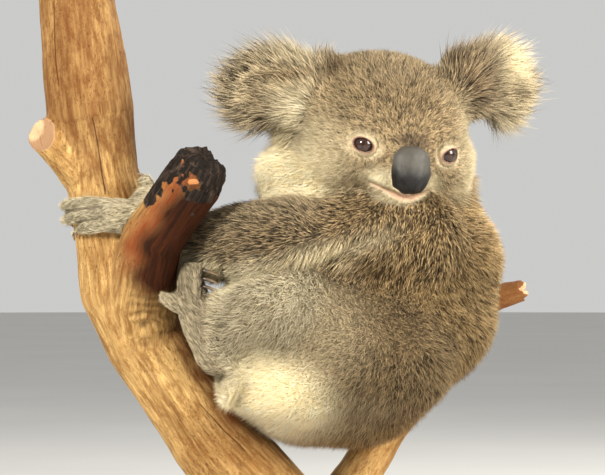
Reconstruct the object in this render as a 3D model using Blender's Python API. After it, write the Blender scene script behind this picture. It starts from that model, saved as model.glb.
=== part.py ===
"""A young koala clinging in the fork of a barked limb, life size, on a plain display stand.

Metres, +Z up. The koala faces -X, its head turned to look along -Y, and the stand's
foot is centred on the origin. Every radius of the body reaches out to the tips of the
fur. Each sub-part is its own closed solid: parts that meet are modelled overlapping
and the softer one is then carved back by its neighbour, with a gap of 0.3 mm.
"""

import math

import bmesh
import bpy
from mathutils import Matrix, Vector

# ---------------------------------------------------------------- driving dimensions
GAP = 0.0003                 # left between two pieces that touch
BODY_GRAIN = 0.0042          # voxel that melts the big masses together
ARM_GRAIN = 0.0032
HEAD_GRAIN = 0.0022
DIGIT_GRAIN = 0.0014

HEAD_CENTRE = Vector((0.039, -0.022, 0.344))
HEAD_TURN = (8.0, 6.0, 19.0)         # pitch down, roll to its left, yaw, in degrees
EYE_RADIUS = 0.0082
EAR_SHIFT = {"right": Vector((0.000, 0.0, -0.0145)), "left": Vector((0.001, 0.0, 0.0075))}

STAND_BASE = (0.30, 0.22, 0.018)     # length, width and thickness of the foot
STAND_ROD_RADIUS = 0.009
STAND_ROD_PLACE = (-0.004, 0.010)    # under the middle of the limb's lower cut
PERCH_BOTTOM = 0.052         # height of the limb's level lower cut over the floor

# The limb's centre line from below its lower cut to its upper one, with a radius at
# each point, and the same for what grows from it.
LIMB = [
    ((0.022, 0.010, 0.020), 0.033),
    ((-0.030, 0.007, 0.085), 0.032),
    ((-0.0550, 0.004, 0.115), 0.0310),
    ((-0.0765, 0.002, 0.139), 0.0275),
    ((-0.0990, 0.000, 0.1715), 0.0252),
    ((-0.1200, 0.000, 0.205), 0.0268),
    ((-0.1335, 0.000, 0.238), 0.0295),
    ((-0.1390, 0.000, 0.275), 0.0280),
    ((-0.1490, 0.000, 0.315), 0.0246),
    ((-0.1570, 0.000, 0.358), 0.0292),
    ((-0.1610, 0.000, 0.392), 0.0275),
    ((-0.1670, 0.000, 0.450), 0.0235),
]
BROKEN_STUB = [
    ((-0.1200, -0.002, 0.205), 0.0225),
    ((-0.1230, -0.014, 0.228), 0.0228),
    ((-0.1192, -0.028, 0.252), 0.0215),
    ((-0.1134, -0.040, 0.2717), 0.0200),
    ((-0.1012, -0.048, 0.2879), 0.0190),
    ((-0.0872, -0.058, 0.3073), 0.0195),
    ((-0.0815, -0.062, 0.3180), 0.0175),
    ((-0.0762, -0.066, 0.3285), 0.0150),
]
REAR_BRANCH = [
    ((-0.018, 0.012, 0.064), 0.0210),
    ((0.004, 0.030, 0.086), 0.0170),
    ((0.0228, 0.046, 0.1115), 0.0147),
    ((0.0410, 0.062, 0.1390), 0.0140),
    ((0.0620, 0.074, 0.1680), 0.0133),
    ((0.0800, 0.079, 0.1970), 0.0125),
    ((0.0980, 0.079, 0.2210), 0.0110),
    ((0.1190, 0.078, 0.2318), 0.0090),
    ((0.1410, 0.078, 0.2377), 0.0070),
]
SMALL_KNOT = [
    ((-0.158, -0.004, 0.318), 0.0200),
    ((-0.178, -0.010, 0.336), 0.0135),
    ((-0.194, -0.013, 0.3455), 0.0095),
]

# Shoulder, elbow, middle of the forearm and wrist, then hip, knee and ankle. The left
# limbs are the ones on the -Y side.
ARMS = {
    "left": (
        (0.062, -0.044, 0.272), (-0.022, -0.058, 0.2735), (-0.086, -0.017, 0.2735), (-0.117, -0.0286, 0.295)
    ),
    "right": (
        (0.046, 0.046, 0.272), (-0.034, 0.060, 0.268), (-0.080, 0.052, 0.274), (-0.112, 0.034, 0.284)
    ),
}
LEGS = {
    "left": ((0.045, -0.040, 0.194), (-0.030, -0.056, 0.230), (-0.068, -0.044, 0.200)),
    "right": ((0.040, 0.036, 0.194), (-0.030, 0.052, 0.228), (-0.072, 0.044, 0.206)),
}
HAND_HEIGHT = {"left": 0.289, "right": 0.280}
FINGER_REACH = {"left": (170, 178, 134), "right": (148, 152, 130)}     # degrees round the limb
FOOT_SHIFT = {"left": Vector((0, 0, 0)), "right": Vector((-0.012, 0, 0.006))}
SIDE = {"left": -1, "right": 1}


# ---------------------------------------------------------------- materials
def material(name, colour, roughness, metallic=0.0):
    made = bpy.data.materials.new(name)
    made.use_nodes = True
    shader = made.node_tree.nodes["Principled BSDF"]
    shader.inputs["Base Color"].default_value = (*colour, 1.0)
    shader.inputs["Roughness"].default_value = roughness
    shader.inputs["Metallic"].default_value = metallic
    return made


def make_materials():
    return {
        "grey_fur": material("grey_fur", (0.30, 0.26, 0.20), 0.9),
        "nose_leather": material("nose_leather", (0.05, 0.05, 0.055), 0.5),
        "eye": material("eye", (0.09, 0.04, 0.03), 0.15),
        "claw": material("claw", (0.20, 0.16, 0.13), 0.4),
        "bare_wood": material("bare_wood", (0.48, 0.30, 0.14), 0.75),
        "stand_wood": material("stand_wood", (0.10, 0.07, 0.05), 0.45),
        "stand_metal": material("stand_metal", (0.35, 0.35, 0.36), 0.35, 1.0),
    }


# ---------------------------------------------------------------- shape helpers
def object_of(name, mesh):
    made = bpy.data.objects.new(name, mesh)
    bpy.context.scene.collection.objects.link(made)
    return made


def baked(obj):
    """The object again with its modifiers applied."""
    graph = bpy.context.evaluated_depsgraph_get()
    mesh = bpy.data.meshes.new_from_object(obj.evaluated_get(graph))
    obj.modifiers.clear()
    obj.data = mesh
    return obj


def ball(centre, radii, frame=Matrix.Identity(4), detail=3):
    """An ellipsoid as a loose mesh."""
    shape = bmesh.new()
    bmesh.ops.create_icosphere(shape, subdivisions=detail, radius=1.0)
    place = frame @ Matrix.Translation(centre) @ Matrix.Diagonal((*radii, 1.0))
    bmesh.ops.transform(shape, matrix=place, verts=shape.verts)
    mesh = bpy.data.meshes.new("ball")
    shape.to_mesh(mesh)
    shape.free()
    return mesh


def tube(line, sides=10, steps=3, ends=True):
    """A round limb along the points of line, each with its radius, smooth between them."""
    curve = bpy.data.curves.new("tube", "CURVE")
    curve.dimensions = "3D"
    curve.bevel_depth = 1.0
    curve.bevel_resolution = sides // 2 - 2
    curve.resolution_u = steps
    curve.use_fill_caps = True
    spline = curve.splines.new("BEZIER")
    spline.bezier_points.add(len(line) - 1)
    for point, (place, radius) in zip(spline.bezier_points, line):
        point.co = place
        point.radius = radius
        point.handle_left_type = point.handle_right_type = "AUTO"
    made = object_of("tube", curve)
    graph = bpy.context.evaluated_depsgraph_get()
    mesh = bpy.data.meshes.new_from_object(made.evaluated_get(graph))
    bpy.data.objects.remove(made)
    shape = bmesh.new()
    shape.from_mesh(mesh)
    bmesh.ops.remove_doubles(shape, verts=shape.verts, dist=1e-6)
    bmesh.ops.recalc_face_normals(shape, faces=shape.faces)
    shape.to_mesh(mesh)
    shape.free()
    if not ends:
        return [mesh]
    caps = [ball(place, (radius,) * 3) for place, radius in (line[0], line[-1])]
    return [mesh, *caps]


def joined(meshes):
    whole = bmesh.new()
    for mesh in meshes:
        whole.from_mesh(mesh)
    mesh = bpy.data.meshes.new("joined")
    whole.to_mesh(mesh)
    whole.free()
    return mesh


def flesh(name, meshes, triangles, voxel=BODY_GRAIN, soften=6):
    """Melts overlapping shapes into one soft closed skin of about so many triangles."""
    made = object_of(name, joined(meshes))
    melt = made.modifiers.new("melt", "REMESH")
    melt.mode = "VOXEL"
    melt.voxel_size = voxel
    smooth = made.modifiers.new("soften", "SMOOTH")
    smooth.factor = 0.6
    smooth.iterations = soften
    baked(made)
    made.data.calc_loop_triangles()
    thin = made.modifiers.new("thin", "DECIMATE")
    thin.ratio = min(1.0, triangles / len(made.data.loop_triangles))
    return baked(made)


def grown(obj, by):
    """A copy of the object's mesh moved out along its normals."""
    shape = bmesh.new()
    shape.from_mesh(obj.data)
    shape.normal_update()
    moves = [vert.normal * by for vert in shape.verts]
    for vert, move in zip(shape.verts, moves):
        vert.co += move
    mesh = bpy.data.meshes.new("grown")
    shape.to_mesh(mesh)
    shape.free()
    return mesh


def box_of(mesh):
    places = [vert.co for vert in mesh.vertices]
    low = [min(place[i] for place in places) for i in range(3)]
    high = [max(place[i] for place in places) for i in range(3)]
    return low, high


def boxes_meet(mesh_a, mesh_b):
    (low_a, high_a), (low_b, high_b) = box_of(mesh_a), box_of(mesh_b)
    return all(low_a[i] < high_b[i] and low_b[i] < high_a[i] for i in range(3))


def keep_largest(obj):
    """Drops crumbs that a cut may leave beside the main body."""
    shape = bmesh.new()
    shape.from_mesh(obj.data)
    left = set(shape.verts)
    groups = []
    while left:
        edge, group = [left.pop()], set()
        while edge:
            vert = edge.pop()
            group.add(vert)
            near = {e.other_vert(vert) for e in vert.link_edges} & left
            left -= near
            edge += near
        groups.append(group)
    groups.sort(key=len)
    crumbs = [vert for group in groups[:-1] for vert in group]
    bmesh.ops.delete(shape, geom=crumbs, context="VERTS")
    shape.to_mesh(obj.data)
    shape.free()


def boolean(obj, other_mesh, operation):
    other = object_of("other", other_mesh)
    cut = obj.modifiers.new("cut", "BOOLEAN")
    cut.operation = operation
    cut.solver = "EXACT"
    cut.use_self = True
    cut.object = other
    baked(obj)
    bpy.data.objects.remove(other)


def part_all(order):
    """Cuts each piece back to the gap from the whole shape of all that stand before it."""
    shells = []
    for obj in order:
        shell = grown(obj, GAP)
        for earlier in shells:
            if boxes_meet(obj.data, earlier):
                boolean(obj, earlier, "DIFFERENCE")
        keep_largest(obj)
        shells.append(shell)


def between(a, b, share):
    return Vector(a).lerp(Vector(b), share)


# ---------------------------------------------------------------- perch and stand
def limb_centre(height):
    """The upright limb's centre and radius at a height."""
    for (low, low_radius), (high, high_radius) in zip(LIMB, LIMB[1:]):
        if low[2] <= height <= high[2]:
            share = (height - low[2]) / (high[2] - low[2])
            return between(low, high, share), low_radius + share * (high_radius - low_radius)
    raise ValueError(height)


def on_limb(height, angle, clear=0.0):
    """A point beside the limb. Angle 0 is its right, -90 its front, 180 its left."""
    centre, radius = limb_centre(height)
    turn = math.radians(angle)
    out = Vector((math.cos(turn), math.sin(turn), 0.0))
    return centre + out * (radius + clear)


def make_perch():
    """The forked limb as one solid, sawn level at its foot."""
    perch = object_of("perch", tube(LIMB, 12, 2, ends=False)[0])
    for growth, sides in ((BROKEN_STUB, 10), (REAR_BRANCH, 8), (SMALL_KNOT, 8)):
        boolean(perch, tube(growth, sides, 1, ends=False)[0], "UNION")
    below = bmesh.new()
    place = Matrix.Translation((0, 0, PERCH_BOTTOM - 0.25))
    bmesh.ops.create_cube(below, size=0.5, matrix=place)
    saw = bpy.data.meshes.new("saw")
    below.to_mesh(saw)
    below.free()
    boolean(perch, saw, "DIFFERENCE")
    return perch


def plate(name, size, radius, height):
    """A flat plate with rounded corners and edges, its underside at height."""
    shape = bmesh.new()
    bmesh.ops.create_cube(shape, size=1.0)
    place = Matrix.Translation((0, 0, height + size[2] / 2)) @ Matrix.Diagonal((*size, 1.0))
    bmesh.ops.transform(shape, matrix=place, verts=shape.verts)
    upright = [e for e in shape.edges if abs(e.verts[0].co.z - e.verts[1].co.z) > size[2] / 2]
    bmesh.ops.bevel(shape, geom=upright, offset=radius, segments=4, affect="EDGES", profile=0.5)
    top = [e for e in shape.edges if min(v.co.z for v in e.verts) > height + size[2] * 0.9]
    bmesh.ops.bevel(shape, geom=top, offset=0.002, segments=1, affect="EDGES")
    mesh = bpy.data.meshes.new(name)
    shape.to_mesh(mesh)
    shape.free()
    return object_of(name, mesh)


def rod(name, place, low, high, radius):
    """An upright round rod between two heights."""
    shape = bmesh.new()
    bmesh.ops.create_cone(
        shape, cap_ends=True, segments=16, radius1=radius, radius2=radius, depth=high - low
    )
    bmesh.ops.translate(shape, vec=(*place, (low + high) / 2), verts=shape.verts)
    mesh = bpy.data.meshes.new(name)
    shape.to_mesh(mesh)
    shape.free()
    return object_of(name, mesh)


# ---------------------------------------------------------------- head
def head_frame():
    """The head's own axes: its face looks along their -Y."""
    pitch, roll, yaw = (math.radians(angle) for angle in HEAD_TURN)
    turn = Matrix.Rotation(yaw, 4, "Z") @ Matrix.Rotation(pitch, 4, "X") @ Matrix.Rotation(roll, 4, "Y")
    return Matrix.Translation(HEAD_CENTRE) @ turn


def make_head(frame):
    """Skull, brow, muzzle, chin and a full cheek on each side."""
    shapes = [
        ball((0, 0.010, 0.006), (0.060, 0.055, 0.047), frame),
        ball((0, -0.020, 0.010), (0.046, 0.035, 0.034), frame),
        ball((0, -0.042, -0.018), (0.024, 0.021, 0.020), frame),
        ball((0, -0.037, -0.035), (0.0185, 0.018, 0.0135), frame),
    ]
    for side in (-1, 1):
        shapes.append(ball((side * 0.030, -0.012, -0.016), (0.032, 0.036, 0.030), frame))
    return flesh("head", shapes, 540, HEAD_GRAIN, 6)


def make_eye(frame, side, word):
    mesh = ball((side * 0.0278, -0.0398, -0.0082), (EYE_RADIUS,) * 3, frame, detail=2)
    return object_of(f"eye_{word}", mesh)


def make_nose(frame):
    """The tall bare pad from between the eyes down to the mouth."""
    shapes = [
        ball((0, -0.0570, -0.0235), (0.0140, 0.0110, 0.0130), frame),
        ball((0, -0.0540, -0.0150), (0.0122, 0.0110, 0.0118), frame),
    ]
    return flesh("nose", shapes, 130, DIGIT_GRAIN, 4)


def make_ear(frame, side, word):
    """A broad furry ear, cupped towards the front and outside."""
    place = frame @ Matrix.Translation(EAR_SHIFT[word])
    fan = Matrix.Translation((side * 0.050, 0.004, 0.024)) @ Matrix.Rotation(side * 0.30, 4, "Z")
    shapes = [
        ball((side * -0.002, -0.002, 0.002), (0.028, 0.020, 0.029), place @ fan),
        ball((side * 0.022, 0.000, 0.012), (0.037, 0.0165, 0.030), place @ fan),
        ball((side * 0.041, 0.000, 0.005), (0.028, 0.0155, 0.032), place @ fan),
    ]
    ear = flesh(f"ear_{word}", shapes, 230, ARM_GRAIN, 5)
    cup = ball((side * 0.034, -0.0190, 0.006), (0.027, 0.0125, 0.023), place @ fan, detail=2)
    boolean(ear, cup, "DIFFERENCE")
    return ear


# ---------------------------------------------------------------- body
def make_neck():
    shapes = [
        ball((0.044, 0.000, 0.306), (0.061, 0.050, 0.042)),
        ball((-0.006, -0.014, 0.314), (0.044, 0.040, 0.034)),
    ]
    return flesh("neck", shapes, 130)


def make_trunk():
    shapes = [
        ball((0.018, 0.002, 0.184), (0.061, 0.062, 0.054)),
        ball((0.052, 0.002, 0.224), (0.066, 0.066, 0.059)),
        ball((0.062, 0.002, 0.258), (0.060, 0.062, 0.050)),
        ball((-0.012, -0.004, 0.177), (0.051, 0.050, 0.045)),
        ball((0.006, 0.002, 0.226), (0.052, 0.046, 0.050)),
        ball((0.020, 0.000, 0.275), (0.055, 0.050, 0.035)),
    ]
    return flesh("trunk", shapes, 460)


def make_arm(word, shoulder, elbow, middle, wrist):
    """An arm reaching for the limb: the upper arm and the forearm."""
    upper_middle = between(shoulder, elbow, 0.5) + Vector((0, 0, 0.002))
    upper = flesh(
        f"upper_arm_{word}",
        tube([(shoulder, 0.0315), (upper_middle, 0.0290), (elbow, 0.0240)]),
        110,
    )
    near = between(elbow, middle, 0.5)
    forearm = flesh(
        f"forearm_{word}",
        tube([(elbow, 0.0280), (near, 0.0245), (middle, 0.0190), (wrist, 0.0125)]),
        140,
        ARM_GRAIN,
    )
    return upper, forearm


def make_leg(word, side, hip, knee, ankle):
    """A folded leg: the thigh with its haunch, and the shank back down to the limb."""
    ham = between(hip, ankle, 0.50) + Vector((0.000, side * 0.002, -0.014))
    haunch = between(hip, ankle, 0.30) + Vector((0.000, side * 0.002, 0.004))
    upper = flesh(
        f"thigh_{word}",
        [
            *tube([(hip, 0.043), (knee, 0.0315)]),
            ball(ham, (0.043, 0.034, 0.036)),
            ball(haunch, (0.052, 0.036, 0.041)),
        ],
        120,
    )
    lower = flesh(
        f"shank_{word}",
        tube([(knee, 0.0365), (between(knee, ankle, 0.5), 0.0290), (ankle, 0.0180)]),
        110,
    )
    return upper, lower


def digit(points, thick, thin):
    """A finger, thumb or toe through the points, tapering from thick to thin."""
    count = len(points) - 1
    line = [(place, thick + (thin - thick) * i / count) for i, place in enumerate(points)]
    return tube(line, 8)


def claw(name, root, direction, droop, length=0.010, thick=0.0013):
    """A curved tapering claw that leaves root along direction and bends to droop."""
    direction, droop = Vector(direction).normalized(), Vector(droop).normalized()
    line = []
    for share, width in ((0.0, 1.0), (0.5, 0.8), (1.0, 0.3)):
        place = Vector(root) + direction * length * share + droop * length * 0.42 * share**2
        line.append((place, thick * width))
    return object_of(name, tube(line, 4, 1, ends=False)[0])


def make_hand(word, side, height, wrist, reaches):
    """A hand round the limb: three fingers forward, two thumbs the other way."""
    palm = on_limb(height, side * 52, 0.0085)
    knuckles = on_limb(height - 0.001, side * 88, 0.0065)
    shapes = tube([(wrist, 0.0120), (palm, 0.0130), (knuckles, 0.0115)])
    claws = []
    for number in range(3):
        start = height + (0.0072, -0.0004, -0.0080)[number]
        end = height + (0.0060, -0.0040, -0.0107)[number]
        reach = reaches[number]
        points = [
            on_limb(height + 0.5 * (start - height), side * 74, 0.0070),
            on_limb(start, side * 102, 0.0050),
            on_limb((start + end) / 2, side * (102 + reach) / 2, 0.0040),
            on_limb(end, side * reach, 0.0036),
        ]
        shapes += digit(points, 0.0056, 0.0036)
        tip = on_limb(end, side * (reach + 4), 0.0040)
        way = on_limb(end - 0.002, side * (reach + 20), 0.0018) - tip
        claws.append(claw(f"claw_hand_{word}_{number + 3}", tip, way, (0.3, 0, -1), 0.008))
    thumbs = (
        (on_limb(height + 0.006, side * 42, 0.0130), on_limb(height + 0.0225, side * 38, 0.0130)),
        (on_limb(height + 0.006, side * 20, 0.0100), on_limb(height + 0.014, -side * 20, 0.0070)),
    )
    for number, (root, tip) in enumerate(thumbs):
        shapes += digit([root, between(root, tip, 0.5) + Vector((0.001, 0, 0)), tip], 0.0075, 0.0050)
        way = (tip - root).normalized()
        name, root = f"claw_hand_{word}_{number + 1}", tip + way * 0.002
        claws.append(claw(name, root, (-0.6, -side * 0.4, 0.5), (-1, 0, -0.5), 0.006))
    return flesh(f"hand_{word}", shapes, 330, DIGIT_GRAIN, 4), claws


def make_foot(word, side, ankle, shift):
    """A foot against the limb, the bare great toe across it and four toes curled."""
    sole = Vector((-0.083, side * 0.040, 0.223)) + shift
    crown = Vector((-0.0885, side * 0.037, 0.246)) + shift
    great_tip = Vector((-0.1045, side * 0.045, 0.2335)) + shift
    shapes = tube([(ankle, 0.018), (sole, 0.0135), (crown, 0.0085)])
    shapes += digit([sole, between(sole, great_tip, 0.5) + Vector((0, 0, 0.001)), great_tip], 0.0105, 0.0048)
    claws = []
    for number in range(4):
        level = 0.2530 - 0.0052 * number
        root = Vector((-0.0910, side * 0.036, level)) + shift
        tip = Vector((-0.0835, side * 0.047, level - 0.001)) + shift
        shapes += digit([root, between(root, tip, 0.5), tip], 0.0052, 0.0042)
        name = f"claw_foot_{word}_{number + 2}"
        claws.append(claw(name, tip + Vector((0.0030, 0, 0)), (1, side * 0.15, 0), (0.2, 0, -0.5)))
    return flesh(f"foot_{word}", shapes, 200, DIGIT_GRAIN, 4), claws


def finish(obj, finish_material):
    """Gives the piece its one material and smooth faces with crisp edges."""
    obj.data.materials.clear()
    obj.data.materials.append(finish_material)
    for face in obj.data.polygons:
        face.material_index = 0
    obj.data.shade_smooth()
    obj.data.set_sharp_from_angle(angle=math.radians(40))


def slot_of(name):
    """The material of a node, fur where nothing else is said."""
    whole = {
        "perch": "bare_wood",
        "nose": "nose_leather",
        "stand_base": "stand_wood",
        "stand_rod": "stand_metal",
    }
    kind = {"claw": "claw", "eye": "eye"}
    return whole.get(name) or kind.get(name.split("_")[0], "grey_fur")


def main():
    for old in list(bpy.data.objects):
        bpy.data.objects.remove(old)
    paint = make_materials()

    perch = make_perch()
    base = plate("stand_base", STAND_BASE, 0.030, 0.0)
    post = rod("stand_rod", STAND_ROD_PLACE, STAND_BASE[2] + GAP, PERCH_BOTTOM - GAP, STAND_ROD_RADIUS)

    frame = head_frame()
    eyes = [make_eye(frame, -1, "right"), make_eye(frame, 1, "left")]
    nose = make_nose(frame)
    head = make_head(frame)
    ears = [make_ear(frame, -1, "right"), make_ear(frame, 1, "left")]
    neck = make_neck()
    trunk = make_trunk()
    claws, hands, feet, forearms, upper_arms, shanks, thighs = ([] for _ in range(7))
    for word, side in SIDE.items():
        upper, forearm = make_arm(word, *ARMS[word])
        upper_arms.append(upper)
        forearms.append(forearm)
        hand, more = make_hand(word, side, HAND_HEIGHT[word], Vector(ARMS[word][-1]), FINGER_REACH[word])
        hands.append(hand)
        claws += more
        thigh, shank = make_leg(word, side, *LEGS[word])
        thighs.append(thigh)
        shanks.append(shank)
        foot, more = make_foot(word, side, Vector(LEGS[word][-1]), FOOT_SHIFT[word])
        feet.append(foot)
        claws += more

    order = [perch, *claws, *hands, *feet, *eyes, nose, head, *ears]
    order += [*forearms, *upper_arms, *shanks, *thighs, neck, trunk]
    part_all(order)

    for obj in [*order, base, post]:
        finish(obj, paint[slot_of(obj.name)])


main()
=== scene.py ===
# %% [markdown]
# # A young koala on a forked limb, life size
# The animal is a still museum model: a soft skin under a thick coat of fur, glass eyes, horn claws and a leather nose,
# gripping a cut length of bare eucalyptus limb that stands on a small wooden base.
# The measured solids are loaded first and never change. Everything below is built round them, in metres.

# %% Load the fixed frame
import math
import bpy
import numpy as np
from mathutils import Matrix, Vector, noise
from mathutils.bvhtree import BVHTree


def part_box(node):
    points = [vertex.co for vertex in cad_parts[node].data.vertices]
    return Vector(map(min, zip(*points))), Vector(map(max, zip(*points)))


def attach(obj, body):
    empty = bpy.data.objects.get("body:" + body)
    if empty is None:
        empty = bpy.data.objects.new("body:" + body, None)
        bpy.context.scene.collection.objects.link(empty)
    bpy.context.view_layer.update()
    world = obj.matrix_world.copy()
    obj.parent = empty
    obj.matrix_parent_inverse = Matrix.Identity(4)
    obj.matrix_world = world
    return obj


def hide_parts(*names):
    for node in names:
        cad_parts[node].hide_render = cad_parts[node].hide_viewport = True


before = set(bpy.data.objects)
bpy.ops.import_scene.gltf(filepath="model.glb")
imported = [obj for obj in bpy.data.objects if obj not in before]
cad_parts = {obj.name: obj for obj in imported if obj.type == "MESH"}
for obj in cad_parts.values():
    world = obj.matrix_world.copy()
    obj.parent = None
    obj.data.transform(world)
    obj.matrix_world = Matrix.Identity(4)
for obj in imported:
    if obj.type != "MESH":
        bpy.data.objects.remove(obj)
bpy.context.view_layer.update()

# %% [markdown]
# ## Camera, floor and light
# A museum piece is shown on a plain pale floor in soft light. The camera stands two metres off, level with the chest,
# with a long lens, so that the animal is seen without any strong perspective.
# Wide area lamps give soft shadows, which suit fur: a small hard lamp would make every tuft glitter.

# %% Camera
def put(name, data):
    """A new object in the scene."""
    made = bpy.data.objects.new(name, data)
    bpy.context.scene.collection.objects.link(made)
    return made


CAMERA_AWAY, FILM_WIDTH = 2.0, 36.0     # metres to the animal, and millimetres of film
VIEW_WIDTH = 0.4033333                  # metres seen across at the animal
camera_data = bpy.data.cameras.new("portrait_camera")
camera = put("portrait_camera", camera_data)
camera.location = (-0.015, -CAMERA_AWAY, 0.27333)
camera.rotation_euler = (math.radians(90), 0, 0)
camera_data.sensor_width = FILM_WIDTH
camera_data.lens = FILM_WIDTH * CAMERA_AWAY / VIEW_WIDTH
camera_data.clip_start, camera_data.clip_end = 0.05, 60.0
bpy.context.scene.camera = camera
bpy.context.scene.view_settings.view_transform = "Standard"
print("lens of", round(camera_data.lens, 1), "mm")


# %% Lamps and the light of the room
def lamp(name, place, aim, size, watts, colour=(1, 1, 1)):
    """A square soft lamp at place that shines towards aim."""
    light = bpy.data.lights.new(name, "AREA")
    light.size, light.energy, light.color = size, watts, colour
    holder = put(name, light)
    holder.location = place
    holder.rotation_euler = (Vector(aim) - Vector(place)).to_track_quat("-Z", "Y").to_euler()


lamp("key_lamp", (-1.05, -1.45, 1.20), (0, 0, 0.27), 0.4, 64, (1.0, 0.97, 0.90))
lamp("fill_lamp", (1.55, -0.75, 1.0), (0, 0, 0.25), 1.0, 60, (1.0, 0.96, 0.88))
lamp("back_lamp", (0.9, 1.1, 1.5), (0, 0, 0.30), 1.1, 26, (1.0, 0.97, 0.90))
room = bpy.data.worlds.new("pale_room")
room.use_nodes = True
room_light = room.node_tree.nodes["Background"].inputs
room_light["Color"].default_value, room_light["Strength"].default_value = (0.90, 0.90, 0.89, 1), 0.66
bpy.context.scene.world = room
print("three lamps and a pale room")

# %% [markdown]
# ## Materials as short sums
# A finish is a small network of nodes. Written node by node it is long and hard to read, so one class holds a value
# that changes over the surface and lets it be added and multiplied like a number, and another holds a material's nodes.


# %% A value that changes over the surface
class Value:
    """One output of a node. Adding or multiplying it adds the Math node that does so."""

    def __init__(self, finish, socket):
        self.finish, self.socket = finish, socket

    def __add__(self, other):
        return self.finish.maths("ADD", self, other)

    def __sub__(self, other):
        return self.finish.maths("SUBTRACT", self, other)

    def __rsub__(self, other):
        return self.finish.maths("SUBTRACT", other, self)

    def __mul__(self, other):
        return self.finish.maths("MULTIPLY", self, other)

    __radd__, __rmul__ = __add__, __mul__

    def above(self, start, end):
        """0 up to start, 1 from end on, and a smooth rise between them."""
        node = self.finish.node("ShaderNodeMapRange", {"interpolation_type": "SMOOTHSTEP"},
                                {"Value": self, "From Min": start, "From Max": end})
        return Value(self.finish, node.outputs[0])

    def between(self, low, high):
        return self.finish.maths("MINIMUM", self.finish.maths("MAXIMUM", self, low), high)


# %% A material and its nodes
def linear(red, green, blue):
    """A colour given in the usual 0 to 255 steps, as the light that it stands for."""
    steps = (red, green, blue)
    return (*(step / 255 / 12.92 if step <= 10 else ((step / 255 + 0.055) / 1.055) ** 2.4 for step in steps), 1)


class Finish:
    """A material: its nodes, and the few kinds of them that this model needs."""

    def __init__(self, name, **settings):
        self.material = bpy.data.materials.new(name)
        self.material.use_nodes = True
        self.nodes, self.links = self.material.node_tree.nodes, self.material.node_tree.links
        self.shader = self.nodes["Principled BSDF"]
        for socket, value in settings.items():
            self.shader.inputs[socket.replace("_", " ")].default_value = value

    def node(self, kind, settings=None, inputs=None):
        """Any node: its own settings first, then a value or a link for each of its sockets."""
        made = self.nodes.new(kind)
        for key, value in (settings or {}).items():
            setattr(made, key, value)
        for key, value in (inputs or {}).items():
            self.feed(made.inputs[key], value)
        return made

    def feed(self, socket, value):
        if isinstance(value, Value):
            value = value.socket
        if isinstance(value, bpy.types.NodeSocket):
            self.links.new(value, socket)
        else:
            socket.default_value = value

    def maths(self, operation, first, second=0.0):
        return Value(self, self.node("ShaderNodeMath", {"operation": operation}, {0: first, 1: second}).outputs[0])

    def place(self):
        return self.node("ShaderNodeTexCoord").outputs["Object"]

    def stored(self, name, vector=False):
        """A value or a vector that was worked out for each point of the mesh."""
        node = self.node("ShaderNodeAttribute", {"attribute_name": name})
        return node.outputs["Vector"] if vector else Value(self, node.outputs["Fac"])

    def stretched(self, vector, scale):
        return self.node("ShaderNodeMapping", None, {"Vector": vector, "Scale": scale}).outputs[0]

    def noise(self, vector, scale, detail=2.0, roughness=0.5):
        node = self.node("ShaderNodeTexNoise", None,
                         {"Vector": vector, "Scale": scale, "Detail": detail, "Roughness": roughness})
        return Value(self, node.outputs["Fac"])

    def cells(self, vector, scale):
        node = self.node("ShaderNodeTexVoronoi", None, {"Vector": vector, "Scale": scale})
        return Value(self, node.outputs["Distance"])

    def mix(self, share, first, second):
        """From the first colour to the second. The node itself keeps the share between 0 and 1."""
        node = self.node("ShaderNodeMix", {"data_type": "RGBA"}, {0: share, 6: first, 7: second})
        return node.outputs[2]

    def tint(self, base, share, *colour):
        """Lays a share of one plain colour over the base."""
        return self.mix(share, base, linear(*colour))

    def bump(self, height, depth, strength=1.0):
        node = self.node("ShaderNodeBump", None, {"Height": height, "Distance": depth, "Strength": strength})
        self.feed(self.shader.inputs["Normal"], node.outputs[0])

    def use(self, socket, value):
        self.feed(self.shader.inputs[socket], value)


print("shader maths is ready")

# %% [markdown]
# ## Working on meshes
# Large soft shapes are handled as arrays of points: read them all, move them together, write them back.
# A few helpers select, copy and finish pieces the way one would by hand.


# %% Helpers for pieces
def deselect():
    if bpy.context.mode != "OBJECT":
        bpy.ops.object.mode_set(mode="OBJECT")
    bpy.ops.object.select_all(action="DESELECT")


def pick(obj):
    deselect()
    obj.select_set(True)
    bpy.context.view_layer.objects.active = obj
    return obj


def apply(obj, kind, **settings):
    """Adds one modifier and applies it at once."""
    pick(obj)
    modifier = obj.modifiers.new(kind.title(), kind)
    for key, value in settings.items():
        setattr(modifier, key, value)
    bpy.ops.object.modifier_apply(modifier=modifier.name)


def join(first, *others):
    """Makes one piece of several, under the first one's name."""
    pick(first)
    for other in others:
        other.select_set(True)
    bpy.ops.object.join()


def rows_of(things, field, width=3, kind=np.float32):
    """One property of all points, edges, faces or corners, as the rows of an array."""
    flat = np.empty(len(things) * width, kind)
    things.foreach_get(field, flat)
    return flat.reshape(-1, width)


def points_of(mesh):
    return rows_of(mesh.vertices, "co").astype(np.float64)


def normals_of(mesh):
    return rows_of(mesh.vertex_normals, "vector").astype(np.float64)


def move_points(mesh, points):
    mesh.vertices.foreach_set("co", points.astype(np.float32).ravel())
    mesh.update()


def store(mesh, **marks):
    """Keeps values for each point of a mesh, under the names that its material asks for."""
    for mark, values in marks.items():
        mesh.attributes.new(mark, "FLOAT", "POINT").data.foreach_set("value", values.astype(np.float32))


MERGE_GAP = 0.00002     # corners nearer than this are one


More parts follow.
